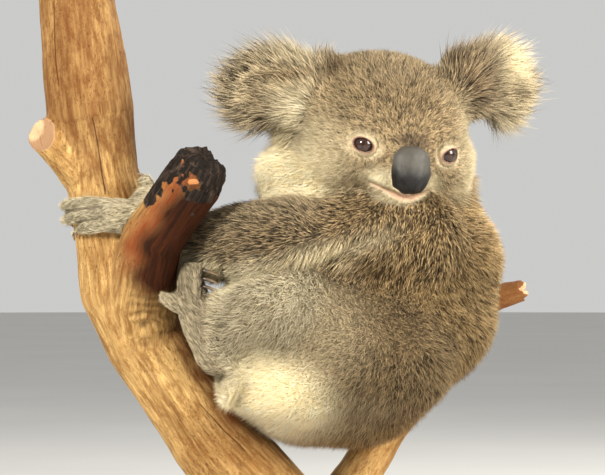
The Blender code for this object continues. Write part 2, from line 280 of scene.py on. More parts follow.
def copy_of_solids(name, nodes):
    """One merged mesh made from copies of the named solids; the solids themselves stay as they are."""
    deselect()
    for number, node in enumerate(nodes):
        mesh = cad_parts[node].data.copy()
        mesh.materials.clear()
        copy = put(name if number == 0 else name + "_more", mesh)
        copy.select_set(True)
        if number == 0:
            bpy.context.view_layer.objects.active = whole = copy
    if len(nodes) > 1:
        bpy.ops.object.join()
    bpy.ops.object.mode_set(mode="EDIT")
    bpy.ops.mesh.select_all(action="SELECT")
    bpy.ops.mesh.remove_doubles(threshold=MERGE_GAP)
    bpy.ops.mesh.customdata_custom_splitnormals_clear()
    bpy.ops.object.mode_set(mode="OBJECT")
    return whole


def finish_piece(obj, finish, replaces=()):
    """The last touches that every piece gets: its material, its body and the solids that it stands for."""
    obj.data.materials.clear()
    obj.data.materials.append(finish.material)
    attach(obj, "root")
    if replaces:
        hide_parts(*replaces)
    print(obj.name, "has", sum(len(p.vertices) - 2 for p in obj.data.polygons), "triangles")


# %% Blurring a value over a mesh
class Net:
    """The net of edges of a mesh, to blur values or points along it."""

    def __init__(self, mesh):
        ends = rows_of(mesh.edges, "vertices", 2, np.int32)
        self.here = np.concatenate([ends[:, 0], ends[:, 1]])
        self.there = np.concatenate([ends[:, 1], ends[:, 0]])
        self.size = len(mesh.vertices)
        self.count = np.maximum(np.bincount(self.here, minlength=self.size), 1)

    def around(self, values):
        columns = values.reshape(self.size, -1)
        return np.stack([np.bincount(self.here, columns[self.there, k], self.size) / self.count
                         for k in range(columns.shape[1])], axis=1).reshape(values.shape)

    def blur(self, values, times, share=0.5):
        for _ in range(times):
            values = values + share * (self.around(values) - values)
        return values


def unit(vectors):
    return vectors / np.maximum(np.linalg.norm(vectors, axis=-1, keepdims=True), 1e-9)


def ramp(values, start, end):
    """0 before start, 1 after end, smooth between, for whole arrays."""
    t = np.clip((values - start) / (end - start), 0, 1)
    return t * t * (3 - 2 * t)


def bell(values, centre, size):
    """1 where a value is at its centre, and about a third where it is a whole size away."""
    return np.exp(-((values - centre) / size) ** 2)


def blob(points, centre, size, power=2):
    """A soft spot: 1 at its centre and about a third at its size. A higher power gives it a clearer edge."""
    return np.exp(-np.linalg.norm((points - centre) / size, axis=1) ** power)


def rough(points, scale, stretch=(1, 1, 1)):
    """Smooth noise at each point."""
    return np.array([noise.noise(Vector(p)) for p in points * np.array(stretch) * scale])


def from_stretch(points, a, b):
    """The way to each point from the nearest place on the straight line between a and b."""
    share = np.clip((points - a) @ (b - a) / ((b - a) @ (b - a)), 0, 1)
    return points - a - share[:, None] * (b - a)


print("mesh helpers are ready")

# %% [markdown]
# ## The skin
# A koala has one unbroken hide. The solids are parted where a person would name the parts, so their copies are melted
# together again: a voxel remesh closes the thin cuts between them and gives an even net of small faces.
# Blurring that net takes away the facets, and then every point goes inwards by the depth of the coat, which is thick on
# the back and almost nothing on the hands and round the eyes.

# %% The main measurements of the animal
HEAD_CENTRE = Vector((0.039, -0.022, 0.344))
HEAD_PITCH, HEAD_ROLL, HEAD_YAW = (math.radians(angle) for angle in (8.0, 6.0, 19.0))
EYES = {"right": Vector((-0.0278, -0.0398, -0.0082)), "left": Vector((0.0278, -0.0398, -0.0082))}   # from its centre
SIDES = {"right": -1, "left": 1}
EYE_RADIUS = 0.0082
HIDE_VOXEL, NOSE_VOXEL, WOOD_VOXEL = 0.0021, 0.0007, 0.0017     # how fine the melted nets are
EAR_SHIFT = {"right": Vector((0.000, 0.0, -0.0145)), "left": Vector((0.001, 0.0, 0.0075))}
HEAD = (Matrix.Translation(HEAD_CENTRE) @ Matrix.Rotation(HEAD_YAW, 4, "Z")
        @ Matrix.Rotation(HEAD_PITCH, 4, "X") @ Matrix.Rotation(HEAD_ROLL, 4, "Y"))


def ear_frame(word):
    """An ear's own axes at its root: x across, -y out of the shell's opening, z up."""
    side = SIDES[word]
    return (HEAD @ Matrix.Translation(EAR_SHIFT[word]) @ Matrix.Translation((side * 0.050, 0.004, 0.024))
            @ Matrix.Rotation(side * 0.30, 4, "Z"))


def into(matrix, points):
    """The points as seen from the axes that matrix stands for."""
    back = np.array(matrix.inverted())
    return points @ back[:3, :3].T + back[:3, 3]


def onto(matrix, points):
    """The other way: points given in those axes, in the whole model's own."""
    out = np.array(matrix)
    return points @ out[:3, :3].T + out[:3, 3]


# The limb's middle line from its foot up, as places with the radius there.
LIMB_AXIS = [((.022, .010, .020), .033), ((-.030, .007, .085), .032), ((-.0550, .004, .115), .0310),
             ((-.0765, .002, .139), .0275), ((-.0990, .000, .1715), .0252), ((-.1200, .000, .205), .0268),
             ((-.1335, .000, .238), .0295), ((-.1390, .000, .275), .0280), ((-.1490, .000, .315), .0246),
             ((-.1570, .000, .358), .0292), ((-.1610, .000, .392), .0275), ((-.1670, .000, .450), .0235)]
# Each hand's side of the limb (-1 is the front), its height, and how far round the limb each finger reaches (degrees).
HANDS = {"left": (-1, 0.289, (170, 178, 134)), "right": (1, 0.280, (148, 152, 130))}
LIMBS = ("upper_arm", "forearm", "hand", "thigh", "shank", "foot")
PAIRS = [f"{part}_{word}" for part in LIMBS for word in ("left", "right")]
FLESH = ["head", "neck", "trunk", "ear_left", "ear_right"] + PAIRS
print(len(FLESH), "solids of flesh are covered by one skin")

# %% Melt the copies into one net
hide = copy_of_solids("skin", FLESH + ["eye_left", "eye_right", "nose"])
# Pads of loose skin, each a place and a size, fill the notch between each heel and the rump and round the near ear.
PADS = [((-0.0575, -0.036, 0.1765), (0.0145, 0.0150, 0.0140)), ((-0.0575, 0.036, 0.1765), (0.0145, 0.0150, 0.0140)),
        (ear_frame("right") @ Vector((0.0065, 0.0040, 0.0255)), (0.0140, 0.0105, 0.0150)),
        ((-0.0350, -0.0330, 0.3530), (0.0100, 0.0090, 0.0140))]
for place, size in PADS:
    deselect()
    bpy.ops.mesh.primitive_ico_sphere_add(subdivisions=3, radius=1, location=place, scale=size)
    bpy.ops.object.transform_apply()
    join(hide, bpy.context.object)
apply(hide, "REMESH", mode="VOXEL", voxel_size=HIDE_VOXEL, use_smooth_shade=True)
print("the melted net has", len(hide.data.vertices), "points")

# %% Which part each point belongs to
# Each part grows its coat in its own way: how deep it is, how long its tufts are, how far they stand up (in degrees),
# how wide one tuft is, how thickly they stand compared with other parts, and how many rounds smooth the facets there.
GROWTH = {
    "head": (0.0036, 0.0070, 42, 0.00046, 1.80, 8),
    "neck": (0.0060, 0.0108, 56, 0.00046, 1.22, 36),
    "trunk": (0.0054, 0.0080, 68, 0.00040, 1.52, 46),
    "ear": (0.0075, 0.0135, 46, 0.00036, 2.00, 6),
    "upper_arm": (0.0048, 0.0076, 62, 0.00046, 1.25, 16),
    "forearm": (0.0040, 0.0080, 52, 0.00046, 1.30, 12),
    "hand": (0.0007, 0.0044, 18, 0.00044, 1.80, 2),
    "thigh": (0.0052, 0.0077, 68, 0.00040, 1.48, 44),
    "shank": (0.0040, 0.0082, 52, 0.00048, 1.25, 14),
    "foot": (0.0008, 0.0042, 16, 0.00042, 2.00, 2),
}
corners, faces, owners = [], [], []
for number, node in enumerate(FLESH):
    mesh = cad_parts[node].data
    start = len(corners)
    corners += [v.co.copy() for v in mesh.vertices]
    faces += [[start + i for i in p.vertices] for p in mesh.polygons]
    owners += [number] * len(mesh.polygons)
nearest_solid = BVHTree.FromPolygons(corners, faces)


def parts_at(points):
    return np.array([owners[nearest_solid.find_nearest(Vector(p))[2]] for p in points])


KINDS = [node if node in GROWTH else node.rsplit("_", 1)[0] for node in FLESH]
net = Net(hide.data)
skin_points = points_of(hide.data)
part_of = parts_at(skin_points)


def by_part(table, times):
    """What the table says for each point's kind of part, blurred over the skin."""
    return net.blur(np.array([table[kind] for kind in KINDS])[part_of], times)


def share_of(names, times=0):
    """1 on the named parts or kinds of part, 0 elsewhere, blurred over the skin."""
    named = [node in names or kind in names for node, kind in zip(FLESH, KINDS)]
    return net.blur(np.array(named, float)[part_of], times)


print("parts met on the skin:", len(set(part_of.tolist())))

# %% Close the narrow creases
# Where the haunch meets the shin, or the arm the chest, loose skin and thick fur bridge the crease. The net is swollen
# by a few millimetres, melted again, which fills what is narrow, and shrunk by as much.
SWELL = {"head": 0.0, "ear": 0.0, "hand": 0.0, "foot": 0.0, "forearm": 0.0, "shank": 0.0075, "thigh": 0.0065,
         "upper_arm": 0.0012, "neck": 0.0030, "trunk": 0.0050}


def swollen(points):
    """How far each point is swollen, most of all in the notch behind the heels."""
    behind_heel = np.linalg.norm((points - (-0.062, 0, 0.176)) * (1, 0, 1), axis=1)
    return by_part(SWELL, 6) + 0.0085 * (1 - ramp(behind_heel, 0.016, 0.036))


swell = swollen(skin_points)
move_points(hide.data, skin_points + swell[:, None] * normals_of(hide.data))
apply(hide, "REMESH", mode="VOXEL", voxel_size=HIDE_VOXEL, use_smooth_shade=True)
net = Net(hide.data)
skin_points = points_of(hide.data)
part_of = parts_at(skin_points)
swell = swollen(skin_points)
growth = by_part(GROWTH, 12)
skin_points = net.blur(skin_points, 2) - swell[:, None] * normals_of(hide.data)
print("the closed net has", len(skin_points), "points")

# %% Smooth the facets, then sink the skin to the coat's depth
coat_depth, rounds = growth[:, 0], growth[:, 5]
for step in range(max(rows[5] for rows in GROWTH.values())):
    share = 0.5 * np.clip(rounds - step, 0, 1)[:, None]
    skin_points = skin_points + share * (net.around(skin_points) - skin_points)
move_points(hide.data, skin_points)


def face_share(points):
    """1 on the muzzle and round the eyes, falling to 0 on the crown, cheeks and throat."""
    local = into(HEAD, points)
    reach = np.linalg.norm((local - (0, -0.052, -0.018)) / (1.25, 1.0, 1.0), axis=1)
    return (1 - ramp(reach, 0.016, 0.050)) * (local[:, 1] < -0.005)


for word, side in SIDES.items():        # an ear's shell is smaller than its fringe
    mine = share_of(["ear_" + word], 6)[:, None]
    at = into(ear_frame(word), skin_points)
    outer = ramp(at[:, 0] * side, -0.012, 0.012)[:, None]
    drawn = at * ((0.84, 1.0, 0.86) * outer + np.array((0.97, 1.0, 0.93)) * (1 - outer)) + (side * 0.0020, 0, 0)
    skin_points = skin_points * (1 - mine) + onto(ear_frame(word), drawn) * mine


def under_arm_line(points):
    """How far a point of the near side lies above the slanting lower edge of the near arm."""
    return points[:, 2] - (0.2530 + 0.276 * (points[:, 0] + 0.0567))


move_points(hide.data, skin_points)
above_line = under_arm_line(skin_points)
near_side = (ramp(-skin_points[:, 1], 0.030, 0.050) * ramp(skin_points[:, 0], -0.090, -0.050)
             * (1 - ramp(skin_points[:, 0], 0.050, 0.078)))
crease = near_side * (0.0046 * bell(above_line, -0.005, 0.0045) - 0.0016 * bell(above_line, 0.008, 0.007))
skin_points = skin_points - crease[:, None] * normals_of(hide.data)
near_face = face_share(skin_points)
depth = coat_depth * (1 - near_face) + 0.0010 * near_face
depth = net.blur(depth, 4)
skin_points = skin_points - depth[:, None] * normals_of(hide.data)
skin_points = net.blur(skin_points, 2, 0.4)
move_points(hide.data, skin_points)
print("the coat is", round(depth.min() * 1000, 1), "to", round(depth.max() * 1000, 1), "mm deep")

# %% [markdown]
# ## The face
# The head is what everybody looks at first. The net is made finer there, and then three things are pressed into it:
# a rim of lid round each eye, with a small fold over the upper one, the line of the mouth with its two lips, and the
# groove under the nose. Each is a short formula on the distance from the eye or from the line of the mouth, so its
# place and size are single numbers that a maker can change.


# %% Finer faces where the face needs them
def refine(obj, inside):
    """Halves the faces whose middles lie inside a region."""
    pick(obj)
    mesh = obj.data
    chosen = inside(rows_of(mesh.polygons, "center").astype(np.float64))
    bpy.context.tool_settings.mesh_select_mode = (False, False, True)
    mesh.vertices.foreach_set("select", np.zeros(len(mesh.vertices), bool))
    mesh.edges.foreach_set("select", np.zeros(len(mesh.edges), bool))
    mesh.polygons.foreach_set("select", chosen)
    bpy.ops.object.mode_set(mode="EDIT")
    bpy.ops.mesh.subdivide(number_cuts=1, smoothness=0.6)
    bpy.ops.object.mode_set(mode="OBJECT")


OPENING = (0.0065, 0.0044)      # half the width and height of the gap between the lids


def eye_axes(word):
    """The middle of an eye and its own axes: outwards to the side, up, and forwards."""
    side = SIDES[word]
    turn = HEAD.to_3x3()
    forwards = (turn @ Vector((side * 0.42, -0.90, 0.02))).normalized()
    up = turn @ Vector((0.0, 0.0, 1.0))
    up = (up - up.dot(forwards) * forwards).normalized()
    up = Matrix.Rotation(math.radians(side * 14), 3, forwards) @ up
    return HEAD @ EYES[word], np.array([-side * np.array(up.cross(forwards)), up, forwards])


def eye_places(points, word):
    """Each point's place over an eye, and how many lid openings away from its middle it is."""
    middle, axes = eye_axes(word)
    local = (points - np.array(middle)) @ axes.T
    away = np.sqrt((local[:, 0] / OPENING[0]) ** 2 + (local[:, 1] / OPENING[1]) ** 2)
    return local, np.where(local[:, 2] > -0.004, away, 99.0)


MOUTH_END = 0.0225      # how far the mouth's corners are from its middle


def mouth_line(x):
    """The height of the mouth's line over the face, which rises towards its corners."""
    return -0.0374 + 0.0066 * (np.abs(x) / 0.022) ** 1.5


def beside_limb(height, angle, clear):
    """A place beside the perch: angle 0 is its right, -90 its front."""
    heights = [place[2] for place, _ in LIMB_AXIS]
    columns = zip(*[(x, y, radius) for (x, y, _), radius in LIMB_AXIS])
    x, y, radius = (np.interp(height, heights, column) for column in columns)
    turn, away = math.radians(angle), radius + clear
    return np.array((x + math.cos(turn) * away, y + math.sin(turn) * away, height))


def gap_to_line(points, line):
    """How far each point is from a line of places."""
    return np.min([np.linalg.norm(from_stretch(points, a, b), axis=1) for a, b in zip(line, line[1:])], axis=0)


def nearest_eye(points):
    """How many lid openings each point is away from the eye that it is nearer to."""
    return np.minimum(eye_places(points, "left")[1], eye_places(points, "right")[1])


def in_face(points):
    at = into(HEAD, points)
    return (np.linalg.norm(at - (0, -0.046, -0.018), axis=1) < 0.040) & (at[:, 1] < -0.012)


def by_mouth(points):
    at = into(HEAD, points)
    return (np.abs(at[:, 2] - mouth_line(at[:, 0])) < 0.005) & (np.abs(at[:, 0]) < 0.027) & (at[:, 1] < -0.030)


DIGITS, DIGIT_COAT = ("hand", "foot"), 0.0007      # the coat is thin there
refine(hide, in_face)
refine(hide, lambda points: nearest_eye(points) < 2.3)
refine(hide, by_mouth)
refine(hide, lambda points: np.isin(np.array(KINDS)[parts_at(points)], DIGITS))
net = Net(hide.data)
skin_points = points_of(hide.data)
part_of = parts_at(skin_points)
digit_share = ramp(share_of(DIGITS, 5), 0.45, 0.95)
for index in np.flatnonzero(digit_share > 0):
    place, way, _, _ = nearest_solid.find_nearest(Vector(skin_points[index]))
    skin_points[index] += digit_share[index] * (np.array(place - way * DIGIT_COAT) - skin_points[index])
for _ in range(3):
    skin_points = skin_points + 0.4 * digit_share[:, None] * (net.around(skin_points) - skin_points)
move_points(hide.data, skin_points)
between_fingers = np.zeros(len(skin_points))
for word, (side, height, reaches) in HANDS.items():
    fingers = [[beside_limb(height + 0.5 * start, side * 74, 0.0070), beside_limb(height + start, side * 102, 0.0050),
                beside_limb(height + (start + end) / 2, side * (102 + reach) / 2, 0.0040),
                beside_limb(height + end, side * reach, 0.0036)]
               for start, end, reach in zip((0.0072, -0.0004, -0.0080), (0.0060, -0.0040, -0.0107), reaches)]
    gaps = np.sort([gap_to_line(skin_points, finger) for finger in fingers], axis=0)
    middle = beside_limb(height, 0, -0.026)
    turn = np.degrees(np.arctan2(side * (skin_points[:, 1] - middle[1]), skin_points[:, 0] - middle[0])) % 360
    mine = share_of(["hand_" + word]) * ramp(turn, 84, 100)
    between_fingers = np.maximum(between_fingers, mine * bell(gaps[1], gaps[0], 0.0017))
skin_points = skin_points - 0.0019 * between_fingers[:, None] * normals_of(hide.data)
fine = face_share(skin_points)[:, None]
for _ in range(6):
    skin_points = skin_points + 0.5 * fine * (net.around(skin_points) - skin_points)
print("the net with a finer face has", len(skin_points), "points")

# %% Lids round the eyes
for word in EYES:
    middle, axes = eye_axes(word)
    local, away = eye_places(skin_points, word)
    across = local[:, 0] ** 2 + local[:, 1] ** 2
    ball = np.sqrt(np.maximum(EYE_RADIUS ** 2 - across, 0))
    over = np.sqrt(np.maximum((EYE_RADIUS + 0.0011) ** 2 - across, 0))
    inner = ball - 0.0034 * (1 - ramp(away, 0.86, 1.0)) + 0.0009 * ramp(away, 0.86, 1.0)
    blend = 1 - ramp(away, 1.25, 2.4)
    outer = local[:, 2] * (1 - blend) + np.maximum(over, local[:, 2] - 0.0012) * blend
    fold = 0.0008 * bell(away, 1.62, 0.17) * ramp(local[:, 1], -0.002, 0.003)
    height = np.where(away < 1.0, inner, outer - fold)
    height = np.where(away < 2.6, height, local[:, 2])
    skin_points = skin_points + (height - local[:, 2])[:, None] * axes[2]
print("lids opened", round(OPENING[0] * 2000, 1), "by", round(OPENING[1] * 2000, 1), "mm")

# %% The mouth and the groove under the nose
move_points(hide.data, skin_points)
skin_normals = normals_of(hide.data)
local = into(HEAD, skin_points)
from_line = local[:, 2] - mouth_line(local[:, 0])
on_mouth = (1 - ramp(np.abs(local[:, 0]), MOUTH_END - 0.004, MOUTH_END)) * (local[:, 1] < -0.028)
press = (-0.0017 * bell(from_line, 0, 0.0009) + 0.0007 * bell(from_line, 0.0030, 0.0017)
         + 0.0009 * bell(from_line, -0.0028, 0.0016)) * on_mouth
groove = -0.0008 * bell(local[:, 0], 0, 0.0009) * (1 - ramp(np.abs(local[:, 2] + 0.0385), 0.001, 0.003))
groove = groove * (local[:, 1] < -0.04)
skin_points = skin_points + (press + groove)[:, None] * skin_normals
move_points(hide.data, skin_points)
for polygon in hide.data.polygons:
    polygon.use_smooth = True
print("the mouth is", round(2000 * MOUTH_END, 1), "mm wide")

# %% [markdown]
# ## Where the coat grows, which way it lies and what colour it is
# Every point of the skin gets a few numbers: the length, width and rise of its tufts, how many there are, the way they
# lie, and how cream, how grey and how dark they are. They are worked out part by part and then blurred over the skin,
# so that nothing changes at a hard line. Both the skin and the coat are coloured by them, so their markings agree.

# %% Lengths and numbers of tufts
skin_normals = normals_of(hide.data)
net = Net(hide.data)
part_of = parts_at(skin_points)
_, length, rise, width, thick, _ = by_part(GROWTH, 8).T
local = into(HEAD, skin_points)
on_head = share_of(["head"], 6)
muzzle = np.linalg.norm((local - (0, -0.056, -0.018)) / (1.15, 1.0, 1.0), axis=1)
small = (1 - ramp(muzzle, 0.012, 0.060)) * on_head
length = length * (1 - 0.66 * small)
width = width * (1 - 0.38 * small)
thick = thick * (1 + 0.75 * small)
rise = rise * (1 - 0.35 * small)
lid = np.where(on_head > 0.02, nearest_eye(skin_points), 99.0)
length = length * (0.35 + 0.65 * ramp(lid, 1.2, 2.8))
thick = thick * ramp(lid, 1.14, 1.34)
lip_height = 0.0006 + 0.0020 * (1 - ramp(np.abs(local[:, 0]), 0.004, 0.013))
lips = bell(from_line, -0.0006, lip_height) * on_mouth * on_head
thick = thick * (1 - ramp(lips, 0.25, 0.6))
nose_local = (local - (0, -0.0570, -0.0215)) / (0.0138, 0.0125, 0.0150)
thick = thick * ramp(np.linalg.norm(nose_local, axis=1), 0.92, 1.02)
hollow = ((net.around(skin_points) - skin_points) * skin_normals).sum(1)
crevice = net.blur(np.clip(hollow / 0.00022, 0, 1), 2) * share_of(DIGITS, 3)
crevice = np.maximum(0.7 * crevice, between_fingers)
thick = thick * (1 - 0.85 * crevice)
print("tufts are", round(length.min() * 1000, 1), "to", round(length.max() * 1000, 1), "mm long")

# %% The ears, which carry the longest fringe
inner_ear, ear_rim, on_ear, ear_dark_and_shade, ear_pale, ear_fold, near_root = (np.zeros(len(skin_points)) for _ in range(7))
ear_out = np.zeros_like(skin_points)
for word, side in SIDES.items():
    place = ear_frame(word)
    mine = share_of(["ear_" + word], 5)
    at = into(place, skin_points)
    facing = skin_normals @ np.array(place.to_3x3())[:, 1] * -1
    outwards = np.stack([at[:, 0] + side * 0.012, np.zeros(len(at)), at[:, 2] + 0.004], axis=1)
    world = unit(outwards) @ np.array(place.to_3x3()).T
    ear_out += world * mine[:, None]
    front = mine * ramp(facing, -0.15, 0.45)
    inner_ear += front

    def spot(out, up, reach, tall):
        """A soft spot on the ear, so far out from its root and so far up."""
        return np.exp(-((at[:, 0] * side - out) / reach) ** 2 - ((at[:, 2] - up) / tall) ** 2)

    near_root = np.maximum(near_root, mine * spot(-0.008, 0.034, 0.014, 0.020))
    if word == "right":         # the near ear shows the fold of its shell
        # Painted shade: the strong dark spot at the shell's root stands for the shade in its hollow.
        ear_dark_and_shade += mine * np.maximum(0.95 * spot(-0.008, 0.028, 0.012, 0.020), 0.45 * ramp(-facing, 0.0, 0.5))
        ear_dark_and_shade += front * (0.85 * spot(0.030, -0.003, 0.017, 0.012) + 0.45 * spot(0.010, 0.042, 0.022, 0.008))
        ear_pale += front * np.maximum(0.30 * spot(0.010, 0.028, 0.018, 0.006),
                                       0.70 * spot(0.008, -0.006, 0.014, 0.013))
        # Painted shade: a dark streak along the crease of the shell's fold, where its tufts are also shorter.
        ear_fold += front * spot(0.018, 0.0155, 0.019, 0.0055)
    else:
        base_side = 1 - ramp(at[:, 0] * side, 0.010, 0.036)
        ear_dark_and_shade += mine * np.maximum(base_side * ramp(at[:, 2], -0.020, 0.000), 0.45 * ramp(-facing, 0.0, 0.5))
        ear_pale += front * np.maximum(spot(0.027, 0.026, 0.020, 0.015), 0.36 * spot(0.040, -0.016, 0.024, 0.010))
    from_middle = np.hypot(at[:, 0] * side - 0.012, at[:, 2])
    ear_rim += mine * (1 - ramp(np.abs(facing), 0.35, 0.95)) * ramp(from_middle, 0.016, 0.030)
    on_ear += mine
length = length * (1 + 0.60 * ear_rim + 0.15 * inner_ear) * (1 - 0.45 * near_root) * (1 - 0.45 * ear_fold)
thick = thick * (1 + 0.25 * ear_rim + 0.2 * inner_ear)
rise = rise + 10 * ear_rim
print("the ears' fringe is up to", round(length[on_ear > 0.5].max() * 1000, 1), "mm long")

# %% The long pale fringe under the arms
is_arm = share_of(["upper_arm", "forearm"], 6)
arm_under = is_arm * ramp(-skin_normals[:, 2], 0.25, 0.80) * (1 - ramp(skin_points[:, 0], -0.005, 0.030))
length = length * (1 + 1.35 * arm_under)
rise = rise + 30 * arm_under
print("the fringe covers", int((arm_under > 0.5).sum()), "points")

# %% The way the coat lies
# Shoulder, elbow, wrist, palm and fingers; hip, knee, heel, sole and toes. STEPS says between which of them each part
# runs.
ARMS = {"left": ((.062, -.044, .272), (-.022, -.058, .2735), (-.086, -.017, .2735),
                 (-.117, -.0286, .295), (-.150, -.034, .290)),
        "right": ((.046, .046, .272), (-.034, .060, .268), (-.080, .052, .274),
                  (-.112, .034, .284), (-.150, .030, .282))}
LEGS = {"left": ((.045, -.040, .194), (-.030, -.056, .230), (-.068, -.044, .200),
                 (-.086, -.040, .238), (-.100, -.045, .262)),
        "right": ((.040, .036, .194), (-.030, .052, .228), (-.072, .044, .206),
                  (-.098, .038, .244), (-.112, .045, .268))}
STEPS = {"upper_arm": (ARMS, (0, 1)), "forearm": (ARMS, (1, 2, 3)), "hand": (ARMS, (3, 4)),
         "thigh": (LEGS, (0, 1)), "shank": (LEGS, (1, 2)), "foot": (LEGS, (2, 3, 4))}


def along_line(points, line):
    """For each point, the direction of the nearest stretch of a line of joints."""
    best, found = np.full(len(points), 9.0), np.zeros_like(points)
    for a, b in zip(line, line[1:]):
        a, b = np.array(a), np.array(b)
        gap = np.linalg.norm(from_stretch(points, a, b), axis=1)
        nearer = gap < best
        best[nearer], found[nearer] = gap[nearer], unit(b - a)
    return found


turned = np.array(HEAD.to_3x3())
lie = np.zeros_like(skin_points)
for number, node in enumerate(FLESH):
    mine = part_of == number
    here = skin_points[mine]
    kind, word = KINDS[number], node.rsplit("_", 1)[-1]
    if kind == "head":
        lie[mine] = unit(local[mine] - (0, -0.066, -0.010)) @ turned.T
    elif kind == "ear":
        lie[mine] = unit(ear_out[mine])
    elif kind == "neck":
        lie[mine] = unit(0.5 * unit(here - (0.030, 0.0, 0.345)) + (-0.10, 0.0, -0.90))
    elif kind == "trunk":
        under = ramp(-here[:, 2], -0.225, -0.150)
        lie[mine] = unit(np.stack([-0.10 - 1.2 * under, np.zeros(len(here)), np.full(len(here), -1.0)], axis=1))
    else:
        lines, joints = STEPS[kind]
        lie[mine] = along_line(here, [lines[word][j] for j in joints]) + (0, 0, -0.12)
        if kind in ("upper_arm", "thigh"):
            near_trunk = ramp(here[:, 0], -0.015, 0.050)[:, None]
            lie[mine] = unit(lie[mine] * (1 - near_trunk) + np.array((-0.30, 0.0, -1.0)) * near_trunk)
for word in EYES:       # the fur round each eye parts from it
    _, axes = eye_axes(word)
    at, away = eye_places(skin_points, word)
    from_eye = at[:, :1] * axes[0] + at[:, 1:2] * axes[1]
    lie = lie + 2.5 * unit(from_eye) * (1 - ramp(away, 1.6, 3.2))[:, None] * (on_head > 0.3)[:, None]
on_body = share_of(["trunk", "neck", "upper_arm", "thigh", "shank", "forearm"], 8)[:, None]
lie = unit(unit(net.blur(lie, 8)) * (1 - on_body) + unit(net.blur(lie, 130)) * on_body)
lie = unit(lie + 1.6 * arm_under[:, None] * np.array((-0.25, 0.0, -1.0)))
swirl = np.array([0.40 * noise.noise(Vector(p) * 38) + 0.22 * noise.noise(Vector(p) * 110) for p in skin_points])
lie = lie - (lie * skin_normals).sum(1)[:, None] * skin_normals
lie = unit(lie)
lie = unit(lie + swirl[:, None] * np.cross(skin_normals, lie))
print("the lie of the coat is known at", len(lie), "points")


# %% Markings
# Cream lies on the chest, belly, chin, cheeks, ruff and rump, grey on the legs, hands and feet, and dark fur on the
# arms, the brow and the far ear's root. The dark mark also holds painted shade: in the hollow at the near ear's root
# and along its fold, in the creases between the fingers and toes, and on the crown.


def patch(centre, radius, strength=1.0, stretch=(1, 1, 1)):
    """A round patch on the body, whose edge fades over nearly its whole radius."""
    gap = np.linalg.norm((skin_points - centre) / stretch, axis=1)
    return strength * (1 - ramp(gap, radius * 0.55, radius * 1.45))


def both(centre, *rest):
    """The same patch on the left and on the right."""
    x, y, z = centre
    return np.maximum(patch(centre, *rest), patch((x, -y, z), *rest))


def most_of(*marks):
    return np.max(marks, axis=0)


x, y, z = skin_points.T
is_digit = share_of(DIGITS, 4)
across_ruff = (x + 0.0267) * -0.78 + (z - 0.3483) * -0.625
ruff = ramp(across_ruff, -0.004, 0.006) * ramp(z, 0.262, 0.280) * (1 - ramp(z, 0.350, 0.362))
off_ear, off_arm = 1 - np.clip(on_ear * 1.2, 0, 1), 1 - ramp(is_arm, 0.45, 0.75)
ruff = ruff * (1 - ramp(x, 0.010, 0.030)) * off_ear * off_arm * (1 - is_digit)
on_trunk = most_of(both((-.030, -.048, .322), .044), both((-.046, -.034, .300), .036),
                   patch((-.050, 0, .250), .050, 0.95, stretch=(1, 1.2, 1.3)),
                   both((-.036, -.055, .158), .046), both((-.078, -.040, .248), .024, 0.5),
                   both((-.060, -.045, .173), .022), both((-.012, -.050, .146), .030, 0.62),
                   both((-.020, -.095, .215), .050, 0.30), both((.020, -.060, .140), .030, 0.25))
cream = on_trunk * (1 - share_of(["head", "ear"], 3)) * (1 - 0.9 * is_arm) * (1 - 0.85 * is_digit)
even_local = np.where((True, False, False), np.abs(local), local)       # the same on both sides of the face
right_cheek = 0.85 * blob(local, (-.050, -.016, -.026), (.022, .030, .026))
left_cheek = 0.95 * blob(local, (.052, -.016, -.018), (.018, .028, .034))
beside_nose = 0.95 * blob(even_local, (.0188, -.050, -.0285), (.010, .016, .0070))
upper_lip = 0.85 * blob(local, (0, -.056, -.031), (.026, .016, .0085))
lower_lip = 0.78 * blob(even_local, (.0100, -.048, -.0415), (.018, .018, .0070))
chin = blob(local, (0, -.040, -.047), (.026, .026, .011))
eye_ring = 0.42 * (1 - ramp(lid, 1.35, 2.5))
cream = most_of(cream, on_head * most_of(right_cheek, left_cheek, beside_nose, upper_lip, lower_lip, chin, eye_ring))
cream = np.maximum(cream, 0.08 * inner_ear + ear_pale) * (1 - 0.85 * np.maximum(ear_dark_and_shade, ear_fold) * (on_ear > 0.2))
above_line = under_arm_line(skin_points)
near_side = ramp(-y, 0.030, 0.050) * ramp(x, -0.090, -0.060) * (1 - ramp(x, 0.034, 0.060))
under_arm = 0.50 * near_side * bell(above_line, -0.004, 0.006)
cream = most_of(cream, 0.75 * arm_under, ruff, 0.28 * share_of(["hand"], 4) + 0.14 * share_of(["foot"], 4), under_arm)
cream = net.blur(cream, 3)
GREY = {"hand": 1.0, "foot": 0.9, "shank": 1.0, "thigh": 0.16, "ear": 0.8, "head": 0.30, "forearm": 0.30,
        "upper_arm": 0, "trunk": 0, "neck": 0}
DARK = {"upper_arm": 0.66, "forearm": 0.85, "foot": 0.46, "thigh": 0.42, "trunk": 0.06, "ear": 0.38, "head": 0.10,
        "hand": 0, "shank": 0, "neck": 0}
# The near ear's fold and hollow carry their painted shade into the grey and dark marks.
grey = by_part(GREY, 16) * (1 - 0.9 * ear_fold)
dark = most_of(by_part(DARK, 14) * (1 - 0.55 * is_arm * ramp(x, 0.012, 0.058)), ear_dark_and_shade, 0.85 * ear_fold)
dark = dark * (1 - 0.9 * arm_under) * (1 - 0.6 * ear_pale)
over_line = 0.85 * near_side * is_arm * ramp(above_line, 0.002, 0.012) * (1 - ramp(x, -0.030, 0.060)) * (1 - cream)
brow = 0.55 * blob(local, (-.005, -.040, .034), (.040, .034, .026))
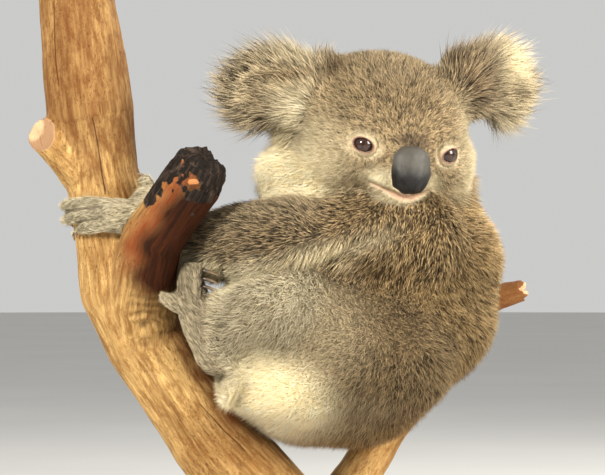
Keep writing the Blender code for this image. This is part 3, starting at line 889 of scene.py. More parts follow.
# Painted shade on the crown, darkening the top of the head where the key lamp lights it most.
painted_crown_shade = 0.32 * blob(local, (0, -.012, .048), (.050, .040, .030))
temple = 0.35 * blob(local, (-.038, -.028, .014), (.018, .030, .012))
over_nose = blob(local, (0, -.054, -.0020), (.0150, .014, .0052), 4)
# Painted shade also darkens the creases between the fingers and toes.
dark = most_of(dark, over_line, patch((0.006, -.045, .389), .0125), 0.95 * crevice,
               on_head * most_of(brow, painted_crown_shade, temple, over_nose))
bare = np.maximum(1 - ramp(lid, 1.14, 1.42), lips) * (on_head > 0.02)
lid_edge = bell(lid, 1.04, 0.13) * (on_head > 0.02)
print("cream covers", round(100 * float((cream > 0.5).mean())), "% of the skin's points")

# %% [markdown]
# ## The skin's own map and its finish
# The skin is unwrapped once, on its own shape. Every tuft later takes the small patch of that map where its root is,
# so a picture baked for the coat holds the colours of the body in the right places.

# %% Unwrap the skin and store the markings
pick(hide)
bpy.ops.object.mode_set(mode="EDIT")
bpy.ops.mesh.select_all(action="SELECT")
bpy.ops.uv.smart_project(angle_limit=math.radians(66), island_margin=0.001)
bpy.ops.object.mode_set(mode="OBJECT")
hide.data.uv_layers[0].name = "OFBake"
store(hide.data, cream=cream, grey=grey, dark=dark, bare=bare, lid_edge=lid_edge)
print("the skin's map is called", hide.data.uv_layers[0].name)


# %% Colours that the skin and the coat share
def fur_colour(finish, own, tip):
    """The coat's colour from its markings, with painted shade towards the roots: own differs from tuft to tuft, and tip
    is 1 at the tips.
    """
    cream, grey, dark = (finish.stored(mark) for mark in ("cream", "grey", "dark"))
    cloud = finish.noise(finish.place(), 26.0, 3.0)
    blend = own + (cloud - 0.5) * 0.45
    brown = finish.mix(blend, linear(45, 29, 12), linear(230, 191, 128))
    pale = finish.mix(blend, linear(68, 56, 40), linear(242, 227, 192))
    black = finish.mix(blend, linear(18, 13, 8), linear(152, 126, 92))
    light = finish.mix(blend, linear(254, 232, 180), linear(255, 252, 226))
    coat = finish.mix(grey, brown, pale)
    coat = finish.mix(dark, coat, black)
    coat = finish.mix(cream + (cloud - 0.5) * 0.30 * cream, coat, light)
    # Painted shade: each tuft is darker towards its root, where the depth of the coat would shade it; cream tufts get
    # less of it.
    shaded = finish.mix(tip * 0.80 + 0.20, linear(44, 31, 17), coat)
    with_root_shade = finish.mix(1 - cream * 0.8, coat, shaded)
    return finish.tint(with_root_shade, tip.above(0.45, 0.95) * own.above(0.66, 0.80) * (0.75 - dark * 0.45), 232, 208, 162)


# %% The skin's finish
skin_finish = Finish("skin_finish", Roughness=0.72)
skin_place = skin_finish.place()
fuzz = skin_finish.noise(skin_place, 900.0, 2.0)
# The skin takes the coat's painted root shade too, as if it lay deep under the tufts.
skin_colour = fur_colour(skin_finish, fuzz, fuzz * 0.5 + 0.25)
blush = skin_finish.mix(skin_finish.noise(skin_place, 320.0, 3.0), linear(150, 114, 90), linear(206, 168, 140))
blush = skin_finish.tint(blush, skin_finish.stored("lid_edge") * 0.85, 58, 38, 28)
skin_finish.use("Base Color", skin_finish.mix(skin_finish.stored("bare"), skin_colour, blush))
skin_finish.bump(skin_finish.noise(skin_place, 1500.0, 2.0) + 0.6 * skin_finish.cells(skin_place, 900.0), 0.0004, 0.6)
finish_piece(hide, skin_finish, FLESH)

# %% [markdown]
# ## The coat
# Real fur is far too fine to model hair by hair. A tuft here stands for a few dozen hairs that cling together, rooted
# just under the skin. The long fur of the ears and arms is made of thin spindles of six faces, bent once so that they
# rise and then lie down along the body. Everywhere else straight spikes of four faces are enough. Thousands of them
# overlap like tiles. They are worked out as arrays and laid into a few large meshes, because a third of a million
# separate pieces would be unworkable, and because hair systems are lost when a model is exported.

# %% Choose where the roots stand
chance = np.random.default_rng(11)
hide.data.calc_loop_triangles()
tri_points = rows_of(hide.data.loop_triangles, "vertices", 3, np.int32)
tri_loops = rows_of(hide.data.loop_triangles, "loops", 3, np.int32)
skin_map = rows_of(hide.data.uv_layers["OFBake"].data, "uv", 2)
a, b, c = (skin_points[tri_points[:, k]] for k in range(3))
area = 0.5 * np.linalg.norm(np.cross(b - a, c - a), axis=1) * 1e6
tri_part = part_of[tri_points[:, 0]]
print("the skin covers", round(area.sum() / 100), "square centimetres")

TUFTS = 331000
wanted = area * thick[tri_points].mean(1)
wanted = wanted * TUFTS / wanted.sum()
number = np.floor(wanted + chance.random(len(wanted))).astype(int)
root_tri = np.repeat(np.arange(len(wanted)), number)
u, v = chance.random(len(root_tri)), chance.random(len(root_tri))
over = u + v > 1
u[over], v[over] = 1 - u[over], 1 - v[over]
share = np.stack([1 - u - v, u, v], axis=1)


def at_roots(values):
    """A value of the skin's points, at the roots."""
    picked = values[tri_points[root_tri]]
    return (picked * (share if picked.ndim == 2 else share[:, :, None])).sum(1)


roots, root_normals, root_lie = at_roots(skin_points), unit(at_roots(skin_normals)), at_roots(lie)
root_lie = unit(root_lie - (root_lie * root_normals).sum(1)[:, None] * root_normals)
root_map = (skin_map[tri_loops[root_tri]] * share[:, :, None]).sum(1)
clump = rough(roots, 640) + 0.6 * rough(roots, 1400)
own = np.clip(0.5 + 0.70 * (chance.random(len(roots)) - 0.5) + 1.95 * clump, 0, 1)
print(len(roots), "tufts grow on it")


# %% Shape the tufts
def cross_section(middle, sideways, up, width, ridge):
    """Three corners round a tuft: two low ones at its sides and a ridge on top."""
    return [middle + sideways * width * 0.5 - up * width * 0.14, middle - sideways * width * 0.5 - up * width * 0.14,
            middle + up * width * ridge]


def spindles(roots, normals, lie, length, rise, width, turn):
    """The corners of six-faced tufts for long fur, as an array of tuft, corner and axis."""
    lie = unit(lie + turn * np.cross(normals, lie))
    sideways = unit(np.cross(normals, lie))
    rise = np.radians(rise)
    first = lie * np.cos(rise) + normals * np.sin(rise)
    last = unit(lie * np.cos(rise * 0.50) + normals * np.sin(rise * 0.50) - 0.5 * turn * sideways)
    middle = roots + first * length * 0.44
    ring = cross_section(middle, sideways, np.cross(first, sideways), width, 0.30)
    return np.stack([roots - first * 0.0018, *ring, middle + last * length * 0.56], axis=1)


def spikes(roots, normals, lie, length, rise, width, turn):
    """The same for short fur: straight tufts of four faces, widest at the root."""
    lie = unit(lie + turn * np.cross(normals, lie))
    sideways = unit(np.cross(normals, lie))
    rise = np.radians(rise * 0.74)
    way = lie * np.cos(rise) + normals * np.sin(rise)
    ring = cross_section(roots - way * 0.0012, sideways, np.cross(way, sideways), width, 0.36)
    return np.stack([*ring, roots + way * length], axis=1)


# For each kind of tuft: the corners of its faces, how near the tip each corner is, and its patch of the map.
PATCH_SIZE = 0.003
SPIKE = (np.array([(0, 2, 3), (2, 1, 3), (1, 0, 3), (0, 1, 2)]),
         np.array([0.0, 0.0, 0.0, 1.0]),
         PATCH_SIZE * np.array([(0.35, -0.4), (-0.35, -0.4), (0.0, -0.3), (0.0, 0.5)]))
SPINDLE = (np.array([(1, 3, 4), (3, 2, 4), (2, 1, 4), (3, 1, 0), (2, 3, 0), (1, 2, 0)]),
           np.array([0.0, 0.5, 0.5, 0.5, 1.0]),
           PATCH_SIZE * np.array([(0.0, -0.5), (0.35, 0.0), (-0.35, 0.0), (0.0, 0.1), (0.0, 0.5)]))


def coat_piece(name, chosen, points, faces, tips, patch_shape):
    """Lays the chosen tufts into one mesh, with their markings and their patches of the skin's map."""
    each = len(tips)
    corner = (faces[None] + each * np.arange(len(chosen))[:, None, None]).reshape(-1, 3).astype(np.int32)
    mesh = bpy.data.meshes.new(name)
    mesh.vertices.add(len(chosen) * each)
    mesh.vertices.foreach_set("co", points[chosen].astype(np.float32).ravel())
    mesh.loops.add(corner.size)
    mesh.loops.foreach_set("vertex_index", corner.ravel())
    mesh.polygons.add(len(corner))
    mesh.polygons.foreach_set("loop_start", np.arange(0, corner.size, 3, dtype=np.int32))
    mesh.polygons.foreach_set("use_smooth", np.ones(len(corner), bool))
    mesh.update(calc_edges=True)
    bake_map = mesh.uv_layers.new(name="OFBake")
    patches = root_map[chosen][:, None, :] + patch_shape[None]
    bake_map.data.foreach_set("uv", patches.reshape(-1, 2)[corner.ravel()].astype(np.float32).ravel())
    store(mesh, **{mark: np.repeat(values[chosen], each) for mark, values in root_marks.items()})
    store(mesh, tip=np.tile(tips, len(chosen)))
    finish_piece(put(name, mesh), coat_finish)


coat_finish = Finish("coat_finish", Roughness=0.62, Specular_IOR_Level=0.25)
coat_finish.use("Base Color", fur_colour(coat_finish, coat_finish.stored("own"), coat_finish.stored("tip")))
root_marks = {"cream": at_roots(cream), "grey": at_roots(grey), "dark": at_roots(dark), "own": own}
tuft_length = at_roots(length) * (0.65 + 0.55 * chance.random(len(roots)))
tuft_length = tuft_length * (1 + 0.55 * at_roots(ear_rim) * (chance.random(len(roots)) - 0.35))
stray = chance.random(len(roots)) > 0.965       # one tuft in about thirty is thin and stands off
tuft_rise = np.clip(at_roots(rise) * (1 + 0.24 * chance.normal(0, 1, len(roots))) + 11 * stray, 5, 82)
tuft_width = at_roots(width) * (0.75 + 0.5 * chance.random(len(roots)))
tuft_width = np.where(stray, tuft_width * 0.6, tuft_width)
unruly = 0.70 - 0.33 * np.clip(at_roots(small), 0, 1) - 0.44 * at_roots(is_digit)
tuft_turn = chance.normal(0, 1, len(roots)) * unruly
sizes = (values[:, None] for values in (tuft_length, tuft_rise, tuft_width, tuft_turn))
shape = (roots, root_normals, root_lie, *sizes)
long_tufts, short_tufts = (spindles(*shape), *SPINDLE), (spikes(*shape), *SPIKE)
print("the longest tuft is", round(1000 * tuft_length.max(), 1), "mm")

# %% Lay them into a few pieces, each small enough to handle
root_kind = np.array(KINDS)[tri_part[root_tri]]
MOST_TRIANGLES = 196000


def lay(name, kinds, order, tufts):
    """One region of the coat, cut along one direction into as many pieces as it needs."""
    chosen = np.flatnonzero(np.isin(root_kind, kinds))
    chosen = chosen[np.argsort(roots[chosen] @ np.array(order))]
    pieces = math.ceil(len(chosen) * len(tufts[1]) / MOST_TRIANGLES)
    for number, some in enumerate(np.array_split(chosen, pieces)):
        coat_piece(f"{name}_{number + 1}" if pieces > 1 else name, some, *tufts)


lay("coat_head", ["head"], (0, 1, 0), short_tufts)
lay("coat_ears", ["ear"], (1, 0, 0), long_tufts)
lay("coat_neck", ["neck"], (0, 1, 0), short_tufts)
lay("coat_trunk", ["trunk"], (0, 0, 1), short_tufts)
lay("coat_arms", ["upper_arm", "forearm"], (0, 1, 0), long_tufts)
lay("coat_legs", ["thigh", "shank"], (0, 1, 0), short_tufts)
lay("coat_hands_and_feet", DIGITS, (0, 0, 1), short_tufts)

# %% [markdown]
# ## Eyes
# A koala's eye is nearly all iris, a dark red-brown, with an upright slit in bright light. A glass eye is a ball with a
# slight bulge for the cornea. The iris and the slit are drawn by three values stored on the ball: the angle from the
# middle of its front and the distances beside and above it.


# %% Glass eyes
def make_eye(word):
    middle, axes = eye_axes(word)
    deselect()
    turn = Vector(axes[2]).to_track_quat("Z", "Y").to_euler()
    bpy.ops.mesh.primitive_uv_sphere_add(segments=56, ring_count=36, radius=EYE_RADIUS - 0.0001,
                                         location=middle, rotation=turn)
    ball = bpy.context.object
    ball.name = ball.data.name = f"glass_eye_{word}"
    bpy.ops.object.transform_apply()
    from_middle = points_of(ball.data) - np.array(middle)
    at = from_middle @ axes.T
    angle = np.degrees(np.arctan2(np.hypot(at[:, 0], at[:, 1]), at[:, 2]))
    bulge = 0.0006 * (1 - ramp(angle, 10, 44))
    move_points(ball.data, points_of(ball.data) + bulge[:, None] * unit(from_middle))
    store(ball.data, angle=angle / 90, sideways=at[:, 0] * 1000, upwards=at[:, 1] * 1000)
    bpy.ops.object.shade_smooth()
    return ball


eye_finish = Finish("glass_eye_finish", Roughness=0.12, Specular_IOR_Level=0.3, Coat_Weight=0.55, Coat_Roughness=0.02)
angle, sideways, upwards = (eye_finish.stored(mark) for mark in ("angle", "sideways", "upwards"))
flecks = eye_finish.noise(eye_finish.place(), 1600.0, 3.0, 0.6)
iris = eye_finish.mix(flecks, linear(24, 13, 9), linear(66, 36, 23))
iris = eye_finish.tint(iris, angle.above(0.20, 0.44) * 0.85, 26, 15, 10)
slit = (sideways * sideways * 3.2 + upwards * upwards * 0.10).above(1.5, 0.55)
iris = eye_finish.tint(iris, slit, 7, 5, 5)
eye_finish.use("Base Color", eye_finish.tint(iris, angle.above(0.46, 0.54), 30, 21, 17))
for word in EYES:
    finish_piece(make_eye(word), eye_finish, [f"eye_{word}"])

# %% [markdown]
# ## Nose
# The nose is a large bare pad of fine-grained leather, broad and soft at the top and darker at the bottom, where the
# two comma-shaped nostrils open to the sides; its lighter grey top is partly the leather's own tone and partly a
# painted sheen. It starts as a copy of its solid, evened out, widened at the top and pressed in at the nostrils.

# %% Leather nose
nose = copy_of_solids("nose_pad", ["nose"])
apply(nose, "REMESH", mode="VOXEL", voxel_size=NOSE_VOXEL, use_smooth_shade=True)
nose_net = Net(nose.data)
nose_points = nose_net.blur(points_of(nose.data), 22)
at = into(HEAD, nose_points)
top = ramp(at[:, 2], -0.027, -0.012)
at[:, 0] *= 1 + 0.17 * top - 0.05 * (1 - top) + 0.13 * ramp(-at[:, 2], 0.028, 0.034)
at[:, 1] -= 0.0006 * (1 - top)
move_points(nose.data, onto(HEAD, at))
nose_normals = normals_of(nose.data)
nostril = np.zeros(len(at))
for side in (-1, 1):
    beside, above = at[:, 0] * side - 0.0070 - 0.10 * (at[:, 2] + 0.030), at[:, 2] + 0.0305
    gap = (beside / 0.0026) ** 2 + (above / 0.0036) ** 2
    nostril = np.maximum(nostril, np.exp(-gap) * (at[:, 1] < -0.055))
middle_groove = 0.0005 * bell(at[:, 0], 0, 0.0009) * ramp(-at[:, 2], 0.026, 0.032)
nose_points = onto(HEAD, at) - nose_normals * (0.0013 * nostril + middle_groove)[:, None]
move_points(nose.data, nose_points)
store(nose.data, nostril=nostril, height=(at[:, 2] + 0.036) / 0.036)
nose_finish = Finish("nose_finish", Roughness=0.46, Specular_IOR_Level=0.35)
nose_place = nose_finish.place()
height = nose_finish.stored("height")
mottle = nose_finish.noise(nose_place, 210.0, 3.0)
# Near-black at the bottom to lighter grey at the top; the top is partly a painted sheen.
leather_and_sheen = nose_finish.mix(height.above(0.26, 0.66) + (mottle - 0.5) * 0.35, linear(6, 5, 5), linear(66, 62, 55))
nose_finish.use("Base Color", nose_finish.tint(leather_and_sheen, nose_finish.stored("nostril").above(0.15, 0.6), 12, 9, 8))
nose_finish.bump(nose_finish.cells(nose_place, 1500.0) + nose_finish.noise(nose_place, 700.0) * 0.5, 0.00022, 0.7)
nose_finish.use("Roughness", 0.36 + mottle * 0.22)
finish_piece(nose, nose_finish, ["nose"])

# %% [markdown]
# ## Claws
# A koala's claws are strong and curved, dark horn at the root and paler at the tip. The solids give their place and bow
# with four sides each. A subdivided copy is round but thinner, so its points are moved back out from the claw's own
# curved axis, found by fitting a gentle curve through them.


# %% Round horn claws
FULLNESS = 1.38     # makes up for what the subdivision takes away


def round_claw(node):
    """A rounded copy of one claw, which knows how near its root each point is."""
    claw = copy_of_solids(node + "_horn", [node])
    apply(claw, "SUBSURF", levels=2, render_levels=2)
    points = points_of(claw.data)
    middle = points.mean(0)
    axis = np.linalg.svd(points - middle)[2][0]
    share = (points - middle) @ axis
    curve = np.polynomial.polynomial.polyfit(share, points, 2)
    core = np.polynomial.polynomial.polyval(share, curve).T
    move_points(claw.data, core + (points - core) * FULLNESS)
    low, high = share.min(), share.max()
    thickness = np.linalg.norm(points - core, axis=1)
    root_end = high if thickness[share > 0.6 * high].mean() > thickness[share < 0.6 * low].mean() else low
    store(claw.data, root=1 - np.abs(share - root_end) / (high - low))
    return claw


horn_finish = Finish("horn_finish", Roughness=0.34)
streak = horn_finish.noise(horn_finish.place(), 800.0, 3.0)
near_horn_root = horn_finish.stored("root").above(0.35, 1.0) + (streak - 0.5) * 0.6
horn_finish.use("Base Color", horn_finish.mix(near_horn_root, linear(122, 102, 78), linear(44, 33, 26)))
horn_finish.bump(streak, 0.0002, 0.5)
for limb, numbers in (("hand", range(1, 6)), ("foot", range(2, 6))):
    for word in ("left", "right"):
        nodes = [f"claw_{limb}_{word}_{n}" for n in numbers]
        horns = [round_claw(node) for node in nodes]
        join(*horns)
        horns[0].name = horns[0].data.name = f"claws_{limb}_{word}"
        bpy.ops.object.shade_smooth()
        finish_piece(horns[0], horn_finish, nodes)

# %% [markdown]
# ## The limb
# The perch is a bare, sun-bleached eucalyptus limb without its bark: golden wood with fine flecks and long grain, a few
# dry cracks down its face, a sawn knot, and a broken stub whose end is charred black. It starts as a copy of its solid,
# evened out and rounded. Each point then learns which branch it is on, how far along and how far round, and all the
# detail, in the shape as in the colour, follows from that, so the grain runs along every branch.

# %% The limb's branches, each a line of places with a radius
BRANCHES = {
    "limb": LIMB_AXIS,
    "stub": [((-.1200, -.002, .205), .0225), ((-.1230, -.014, .228), .0228), ((-.1192, -.028, .252), .0215),
             ((-.1134, -.040, .2717), .0200), ((-.1012, -.048, .2879), .0190), ((-.0872, -.058, .3073), .0195),
             ((-.0815, -.062, .3180), .0175), ((-.0762, -.066, .3285), .0150)],
    "rear": [((-.018, .012, .064), .0210), ((.004, .030, .086), .0170), ((.0228, .046, .1115), .0147),
             ((.0410, .062, .1390), .0140), ((.0620, .074, .1680), .0133), ((.0800, .079, .1970), .0125),
             ((.0980, .079, .2210), .0110), ((.1190, .078, .2318), .0090), ((.1410, .078, .2377), .0070)],
    "knot": [((-.158, -.004, .318), .0200), ((-.178, -.010, .336), .0135), ((-.194, -.013, .3455), .0095)],
}
SAWN = unit(np.array((-0.62, -0.74, 0.26)))      # the way that the knot's sawn face looks


def end_of(name, back=2):
    """Where a branch ends, and the way it runs over its last few places."""
    line = BRANCHES[name]
    end = np.array(line[-1][0])
    return end, unit(end - np.array(line[-back][0]))


limb = copy_of_solids("bare_limb", ["perch"])
apply(limb, "REMESH", mode="VOXEL", voxel_size=WOOD_VOXEL, use_smooth_shade=True)
limb_net = Net(limb.data)
wood_points = limb_net.blur(points_of(limb.data), 12)
move_points(limb.data, wood_points)
wood_normals = normals_of(limb.data)
print("the limb's net has", len(wood_points), "points")


# %% Where each point is on its branch
def on_branches(points):
    """For each point: its branch, how far along it, the place on the branch's axis, the axis and the radius there."""
    best = np.full(len(points), 9.0)
    branch, along, radius = np.zeros(len(points), int), np.zeros(len(points)), np.ones(len(points))
    core, axis = np.zeros_like(points), np.zeros_like(points)
    for number, line in enumerate(BRANCHES.values()):
        so_far = 0.0
        for (a, ra), (b, rb) in zip(line, line[1:]):
            a, b = np.array(a), np.array(b)
            size = np.linalg.norm(b - a)
            share = np.clip((points - a) @ (b - a) / size ** 2, 0, 1)
            middle = a + share[:, None] * (b - a)
            here = ra + share * (rb - ra)
            gap = np.linalg.norm(points - middle, axis=1) / here
            nearer = gap < best
            best[nearer], branch[nearer], radius[nearer] = gap[nearer], number, here[nearer]
            along[nearer] = so_far + share[nearer] * size
            core[nearer], axis[nearer] = middle[nearer], (b - a) / size
            so_far += size
    return branch, along, core, axis, radius


branch, along, core, axis, radius = on_branches(wood_points)
on_limb, is_stub, on_rear, on_knot = (branch == number for number in range(4))
fork = limb_net.blur(on_limb.astype(float), 16)
fork = np.clip(4 * fork * (1 - fork), 0, 1)[:, None]
for _ in range(60):
    wood_points = wood_points + 0.5 * fork * (limb_net.around(wood_points) - wood_points)
fork = np.clip(1.5 * limb_net.blur(fork, 6), 0, 1)
across = wood_points - core
reach = np.linalg.norm(across, axis=1)
side_on = 1 - np.abs((wood_normals * axis).sum(1))
rounder = (1 - ramp(np.abs(reach / radius - 0.955), 0.045, 0.10)) * ramp(side_on, 0.55, 0.85)
rounder = limb_net.blur(rounder * (1 - fork[:, 0]), 3)[:, None]
wood_points = core + across * (1 - rounder + rounder * (0.985 * radius / np.maximum(reach, 1e-6))[:, None])
wood_points = limb_net.blur(wood_points, 3)
knot_end, knot_way = end_of("knot")
past = ((wood_points - (knot_end - 0.0050 * knot_way)) @ SAWN) * on_knot
wood_points = wood_points - (np.maximum(past, 0) / (knot_way @ SAWN))[:, None] * knot_way
sawn_face = (past > -0.0003) & on_knot & (np.linalg.norm(wood_points - knot_end, axis=1) < 0.020)
move_points(limb.data, wood_points)
wood_normals = normals_of(limb.data)
across = wood_points - core
front = np.array([0.0, -1.0, 0.0])
first = unit(front - (axis @ front)[:, None] * axis)
second = np.cross(axis, first)
around = np.arctan2((across * second).sum(1), (across * first).sum(1))      # 0 faces the front
grain_place = np.stack([np.cos(around) * radius, np.sin(around) * radius, along], axis=1) + branch[:, None] * 0.37
grain_place = limb_net.blur(grain_place, 2)


print("points on", {name: int((branch == n).sum()) for n, name in enumerate(BRANCHES)})

# %% Cut ends, the crack, pits and the charred tip
cut, rings = np.zeros(len(wood_points)), np.zeros(len(wood_points))
for name in ("limb", "rear"):
    end, way = end_of(name)
    facing = ((wood_normals @ way > 0.75) & ((wood_points - end) @ way > -0.006)
              & (np.linalg.norm(wood_points - end, axis=1) < 0.04))
    cut = np.maximum(cut, facing.astype(float))
    rings = np.where(facing, np.linalg.norm(across, axis=1), rings)
cut = np.where(on_knot, sawn_face, cut)
low_cut = (wood_normals[:, 2] < -0.75) & (wood_points[:, 2] < 0.0555)
for face in (sawn_face, low_cut):
    cut = np.maximum(cut, face.astype(float))
    rings = np.where(face, np.linalg.norm(wood_points - wood_points[face].mean(0), axis=1), rings)
rim = cut * ramp(np.linalg.norm(across, axis=1) / radius, 0.74, 0.92)
cut = limb_net.blur(cut, 1)

# The broken stub: charred at its tip and down its back, scorched below that, red where the fire only warmed it.
# Its scorched brown is laid on thickest as painted shade down its right side.
x, y, z = wood_points.T
tip_end, tip_way = end_of("stub", 3)
on_stub = limb_net.blur(is_stub.astype(float), 3)
to_tip = (wood_points - tip_end) @ tip_way
ragged, frayed = rough(wood_points, 95.0), rough(wood_points, 260.0)
char = on_stub * ramp(to_tip + 0.020 * ragged + 0.014 * frayed, -0.030, -0.012)
scorch = on_stub * ramp(0.5 * rough(wood_points, 200.0) - np.sin(around + 0.15), 0.30, 0.80)
scorch = scorch * ramp(along + 0.014 * ragged, 0.084, 0.104)
char = np.maximum(char, 0.9 * scorch)
redness = on_stub * ramp(along, 0.045, 0.080) * bell(around + 0.3 * ragged, -0.35, 0.62)
shade_side = ramp(np.sin(around + 0.25) + 0.35 * ragged, -0.30, 0.55)
ember = on_stub * (0.16 + 0.95 * shade_side) * ramp(along, 0.014, 0.074)
ember = limb_net.blur(ember * (1 - 0.5 * char) * np.clip(1.05 + 0.5 * ragged, 0, 1), 26)
chip_gap = np.linalg.norm((wood_points - (-.0844, -.080, .3090)) / (.0046, .010, .0015), axis=1)
chip = np.exp(-(chip_gap * (1 + 0.8 * frayed)) ** 4)
splinter = on_stub * ramp(to_tip, -0.010, -0.002) * (0.0045 * ragged - 0.0030 + 0.0030 * rough(wood_points, 280.0))

# The upright limb: painted shade down its right side beside the animal and over its upper part, cracks, pits and
# the wrinkles below the stub.
stain = on_limb * ramp(np.sin(around), 0.30, 0.80) * ramp(z, 0.090, 0.165) * (1 - ramp(z, 0.222, 0.240))
high_stain = 0.66 * on_limb * ramp(z + 0.02 * ragged, 0.295, 0.345)
stain = np.maximum(limb_net.blur(stain, 3) * (0.9 + 0.6 * ragged), high_stain)
# Each crack: where it starts and ends along the limb, how far round it is and how much it wanders, and its half width.
CRACKS = ((0.330, 0.392, 0.06, 0.05, 0.0006), (0.405, 0.470, -0.62, 0.05, 0.0004),
          (0.285, 0.318, 0.55, 0.04, 0.0004), (0.13, 0.185, 0.40, 0.08, 0.0005))
crack, crack_gap = np.zeros(len(wood_points)), np.full(len(wood_points), 9.0)
for low, high, centre, wander, size in CRACKS:
    gap = (around - (centre + wander * np.sin(along * 55))) * radius
    inside = ramp(along, low, low + 0.012) * (1 - ramp(along, high - 0.012, high)) * on_limb
    crack = np.maximum(crack, bell(gap, 0, 0.0016) * inside)
    nearest = (np.abs(gap) < np.abs(crack_gap)) & (inside > 0.01)
    crack_gap = np.where(nearest, gap / size, crack_gap)
pit = np.maximum(blob(wood_points, (-.120, -.027, .216), (.0055, .009, .0036)),
                 0.7 * blob(wood_points, (-.146, -.024, .208), (.0035, .009, .0026)))
wrinkle = np.maximum(on_stub, fork[:, 0]) * bell(z, 0.224, 0.014)
wrinkle = wrinkle * ramp(x + 0.3 * (z - 0.22), -0.134, -0.118) * (y < -0.005)
wrinkle = wrinkle * np.sin(z * 1150 + 3.5 * rough(wood_points, 60.0))

# All of it together moves the points out and in.
long_grain = rough(grain_place, 260.0, (1, 1, 0.10)) * (1 - fork[:, 0])
fine_grain = rough(grain_place, 620.0, (1, 1, 0.08)) * (1 - fork[:, 0])
lumps = rough(wood_points, 34.0)
height = 0.0004 + 0.0010 * lumps * (1 - cut) + 0.0005 * long_grain * (1 - cut) + 0.00025 * fine_grain * (1 - cut)
height += -0.0004 * crack - 0.0022 * pit + 0.0008 * chip + 0.0007 * wrinkle
height += char * (0.0013 * rough(grain_place, 300.0, (1, 1, 0.35)) + 0.0006 * rough(wood_points, 520.0))
rear_end, rear_way = end_of("rear")
rear_face = on_rear * ramp((wood_points - rear_end) @ rear_way, -0.010, -0.002)
weathered = on_rear * ramp(along, 0.130, 0.215)
wood_points = wood_points + height[:, None] * wood_normals + splinter[:, None] * tip_way
wood_points = wood_points + (rear_face * (0.0050 * rough(wood_points, 240.0) - 0.0018))[:, None] * rear_way
wood_points[low_cut, 2] = np.maximum(wood_points[low_cut, 2], 0.0521)       # the foot keeps clear of the stand
move_points(limb.data, wood_points)
store(limb.data, cut=cut, rings=rings * 1000, rim=rim, char=char, ember=ember, redness=redness, chip=chip, stain=stain,
      crack=crack, crack_gap=np.clip(crack_gap, -9, 9), pit=pit, weathered=weathered, fork=fork[:, 0])
grain_mark = limb.data.attributes.new("grain", "FLOAT_VECTOR", "POINT")
grain_mark.data.foreach_set("vector", grain_place.astype(np.float32).ravel())
longest = max(high - low for low, high, *_ in CRACKS)
print("the longest crack is", round(1000 * longest), "mm; charred points of the stub:", int((char > 0.5).sum()))

# %% Bare wood
wood_finish = Finish("bare_wood_finish", Roughness=0.62, Specular_IOR_Level=0.12)
stored, tint = wood_finish.stored, wood_finish.tint
grain_at, wood_place = stored("grain", vector=True), wood_finish.place()
patches = wood_finish.noise(wood_place, 24.0, 2.0)


def golden_wood(at, grain):
    """The colour of bare wood whose grain runs along the third of the given axes, and the height of that grain."""
    kinds = ((0.14 * grain, 95.0, 3.0), (0.07 * grain, 430.0, 4.0, 0.6),
             (0.50, 900.0, 4.0, 0.75), (0.35, 260.0, 4.0, 0.7))
    broad, streaks, specks, mottle = (wood_finish.noise(wood_finish.stretched(at, (1, 1, squeeze)), *rest)
                                      for squeeze, *rest in kinds)
    colour = wood_finish.mix(broad * 1.3 + streaks * 1.5 - 0.92, linear(100, 65, 28), linear(232, 190, 122))
    colour = tint(colour, patches.above(0.42, 0.72) * 0.45, 120, 77, 35)
    colour = tint(colour, mottle.above(0.44, 0.66) * 0.70, 128, 84, 38)
    colour = tint(colour, specks.above(0.54, 0.64) * patches.above(0.30, 0.56) * 0.80, 78, 44, 20)
    return colour, broad, streaks, mottle, streaks * 0.9 + specks * 0.8 + broad * 0.4 + mottle * 0.5


wood, *own_grain = golden_wood(grain_at, 1.0)
fork_wood, *fork_grain = golden_wood(wood_place, 2.0)
at_fork = (stored("fork") * 1.5).between(0, 1)
wood = wood_finish.mix(at_fork, wood, fork_wood)
broad, streaks, mottle, grain_height = (alone * (1.0 - at_fork) + joined * at_fork
                                        for alone, joined in zip(own_grain, fork_grain))
# Painted shade on the limb's right side and its upper part.
wood = tint(wood, stored("stain") * (0.3 + mottle), 92, 50, 20)
wood = tint(wood, stored("redness") * (0.35 + streaks), 132, 60, 25)
# The stub's scorched brown, laid on most thickly as painted shade on its right side.
shade_and_scorch_brown = wood_finish.mix(streaks * 1.6 - 0.40, linear(15, 7, 1), linear(78, 35, 9))
wood = wood_finish.mix(stored("ember") * (0.88 + broad * 0.65), wood, shade_and_scorch_brown)
wood = tint(wood, stored("weathered") * (0.35 + streaks * 0.8), 116, 64, 30)
ring_wave = wood_finish.maths("SINE", stored("rings") * 4.5)
cut_wood = wood_finish.mix(ring_wave * 0.22 + 0.4, linear(186, 140, 98), linear(240, 206, 166))
cut_wood = tint(cut_wood, (stored("rim") * 0.6 + mottle.above(0.55, 0.75) * 0.4).between(0, 0.8), 96, 58, 30)
wood = wood_finish.mix(stored("cut").above(0.4, 0.7), wood, cut_wood)
soot_grain = wood_finish.noise(wood_finish.stretched(grain_at, (1, 1, 0.4)), 300.0, 4.0, 0.7)
soot = wood_finish.mix(soot_grain.above(0.45, 0.75), linear(22, 16, 12), linear(76, 61, 50))
wood = wood_finish.mix((stored("char") + (mottle - 0.5) * 0.5).above(0.32, 0.60), wood, soot)
wood = tint(wood, stored("chip").above(0.3, 0.6), 176, 118, 72)
crack_line = stored("crack_gap") + (streaks - 0.5) * 2.4
split = (crack_line * crack_line).above(1.0, 0.3) * stored("crack").above(0.15, 0.5)
wood = tint(wood, split * 0.85, 60, 32, 14)
wood = tint(wood, stored("pit").above(0.25, 0.8) * 0.85, 58, 32, 14)
wood_finish.use("Base Color", wood)
wood_finish.use("Roughness", 0.60 + streaks * 0.25)
wood_finish.bump(grain_height, 0.0012, 0.9)
finish_piece(limb, wood_finish, ["perch"])

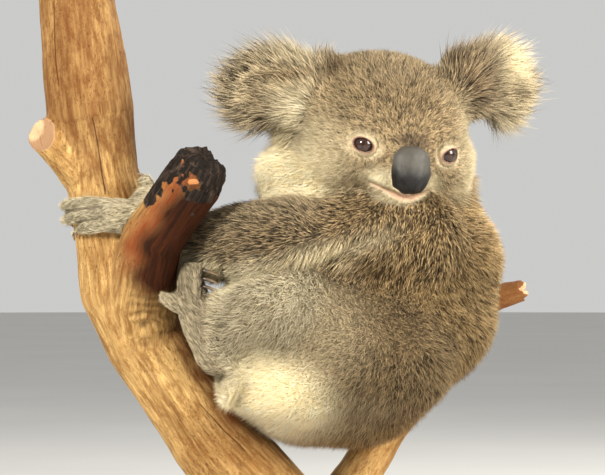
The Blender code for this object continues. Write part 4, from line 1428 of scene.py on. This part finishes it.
# %% [markdown]
# ## The display stand
# A plain wooden base carries one steel rod that runs up into the limb's lower cut. The base is a plate with rounded
# edges and a fine grain; the rod has a small collar where it leaves the wood.

# %% Base
CORNER_RADIUS, EDGE_ROUNDING = 0.016, 0.0028
base_low, base_high = (np.array(corner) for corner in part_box("stand_base"))
base_size, base_middle = base_high - base_low, (base_high + base_low) / 2
deselect()
bpy.ops.mesh.primitive_cube_add(size=1, location=base_middle, scale=base_size)
base = bpy.context.object
base.name = base.data.name = "base_plate"
bpy.ops.object.transform_apply()
bpy.ops.object.mode_set(mode="EDIT")
bpy.ops.mesh.select_all(action="DESELECT")
bpy.ops.object.mode_set(mode="OBJECT")
for edge in base.data.edges:
    a, b = (base.data.vertices[i].co for i in edge.vertices)
    edge.select = abs(a.z - b.z) > base_size[2] / 2
bpy.context.tool_settings.mesh_select_mode = (False, True, False)
bpy.ops.object.mode_set(mode="EDIT")
bpy.ops.mesh.bevel(offset=CORNER_RADIUS, segments=8, affect="EDGES")
bpy.ops.object.mode_set(mode="OBJECT")
apply(base, "BEVEL", width=EDGE_ROUNDING, segments=4, limit_method="ANGLE", angle_limit=math.radians(50))
bpy.ops.object.shade_smooth_by_angle(angle=math.radians(35))
stand_finish = Finish("stand_wood_finish", Roughness=0.34)
stand_place = stand_finish.place()
warp = stand_finish.noise(stand_finish.stretched(stand_place, (1, 4, 4)), 7.0, 2.0)
veins = stand_finish.noise(stand_finish.stretched(stand_place, (3, 42, 42)), 9.0, 4.0, 0.6)
pores = stand_finish.noise(stand_finish.stretched(stand_place, (10, 210, 210)), 12.0, 2.0, 0.6)
plank = stand_finish.mix(veins + (warp - 0.5) * 0.9, linear(66, 38, 22), linear(142, 92, 56))
stand_finish.use("Base Color", stand_finish.tint(plank, pores.above(0.58, 0.70) * 0.5, 40, 22, 12))
stand_finish.use("Roughness", 0.28 + veins * 0.16)
stand_finish.bump(pores, 0.0002, 0.4)
finish_piece(base, stand_finish, ["stand_base"])

# %% Rod with its collar
COLLAR_REACH, COLLAR_HEIGHT, FLOOR_RADIUS = 0.007, 0.004, 9.0
rod_low, rod_high = (np.array(corner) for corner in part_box("stand_rod"))
rod_middle = (rod_low + rod_high) / 2
rod_radius = (rod_high[0] - rod_low[0]) / 2
deselect()
rod_length = rod_high[2] - rod_low[2]
bpy.ops.mesh.primitive_cylinder_add(vertices=48, radius=rod_radius, depth=rod_length, location=rod_middle)
rod = bpy.context.object
rod.name = rod.data.name = "steel_rod"
bpy.ops.mesh.primitive_cylinder_add(vertices=48, radius=rod_radius + COLLAR_REACH, depth=COLLAR_HEIGHT,
                                    location=(rod_middle[0], rod_middle[1], base_high[2] + COLLAR_HEIGHT / 2))
collar = bpy.context.object
apply(collar, "BEVEL", width=0.0011, segments=3, limit_method="ANGLE", angle_limit=math.radians(50))
join(rod, collar)
bpy.ops.object.transform_apply()
bpy.ops.object.shade_smooth_by_angle(angle=math.radians(35))
steel_finish = Finish("steel_finish", Roughness=0.32, Metallic=1.0)
brushed = steel_finish.noise(steel_finish.stretched(steel_finish.place(), (1, 1, 30)), 40.0, 3.0)
steel_finish.use("Base Color", steel_finish.mix(brushed, linear(120, 122, 126), linear(196, 197, 200)))
steel_finish.use("Roughness", 0.24 + brushed * 0.2)
finish_piece(rod, steel_finish, ["stand_rod"])

# %% Floor
deselect()
bpy.ops.mesh.primitive_circle_add(vertices=96, radius=FLOOR_RADIUS, fill_type="NGON", location=(0, 0, 0))
floor = bpy.context.object
floor.name = "pale_floor"
floor_finish = Finish("pale_floor_finish", Roughness=0.85)
cloudy = floor_finish.noise(floor_finish.place(), 3.0, 2.0)
floor_finish.use("Base Color", floor_finish.mix(cloudy, linear(190, 189, 186), linear(202, 201, 198)))
floor.data.materials.append(floor_finish.material)
print("the floor is", 2 * FLOOR_RADIUS, "metres across")
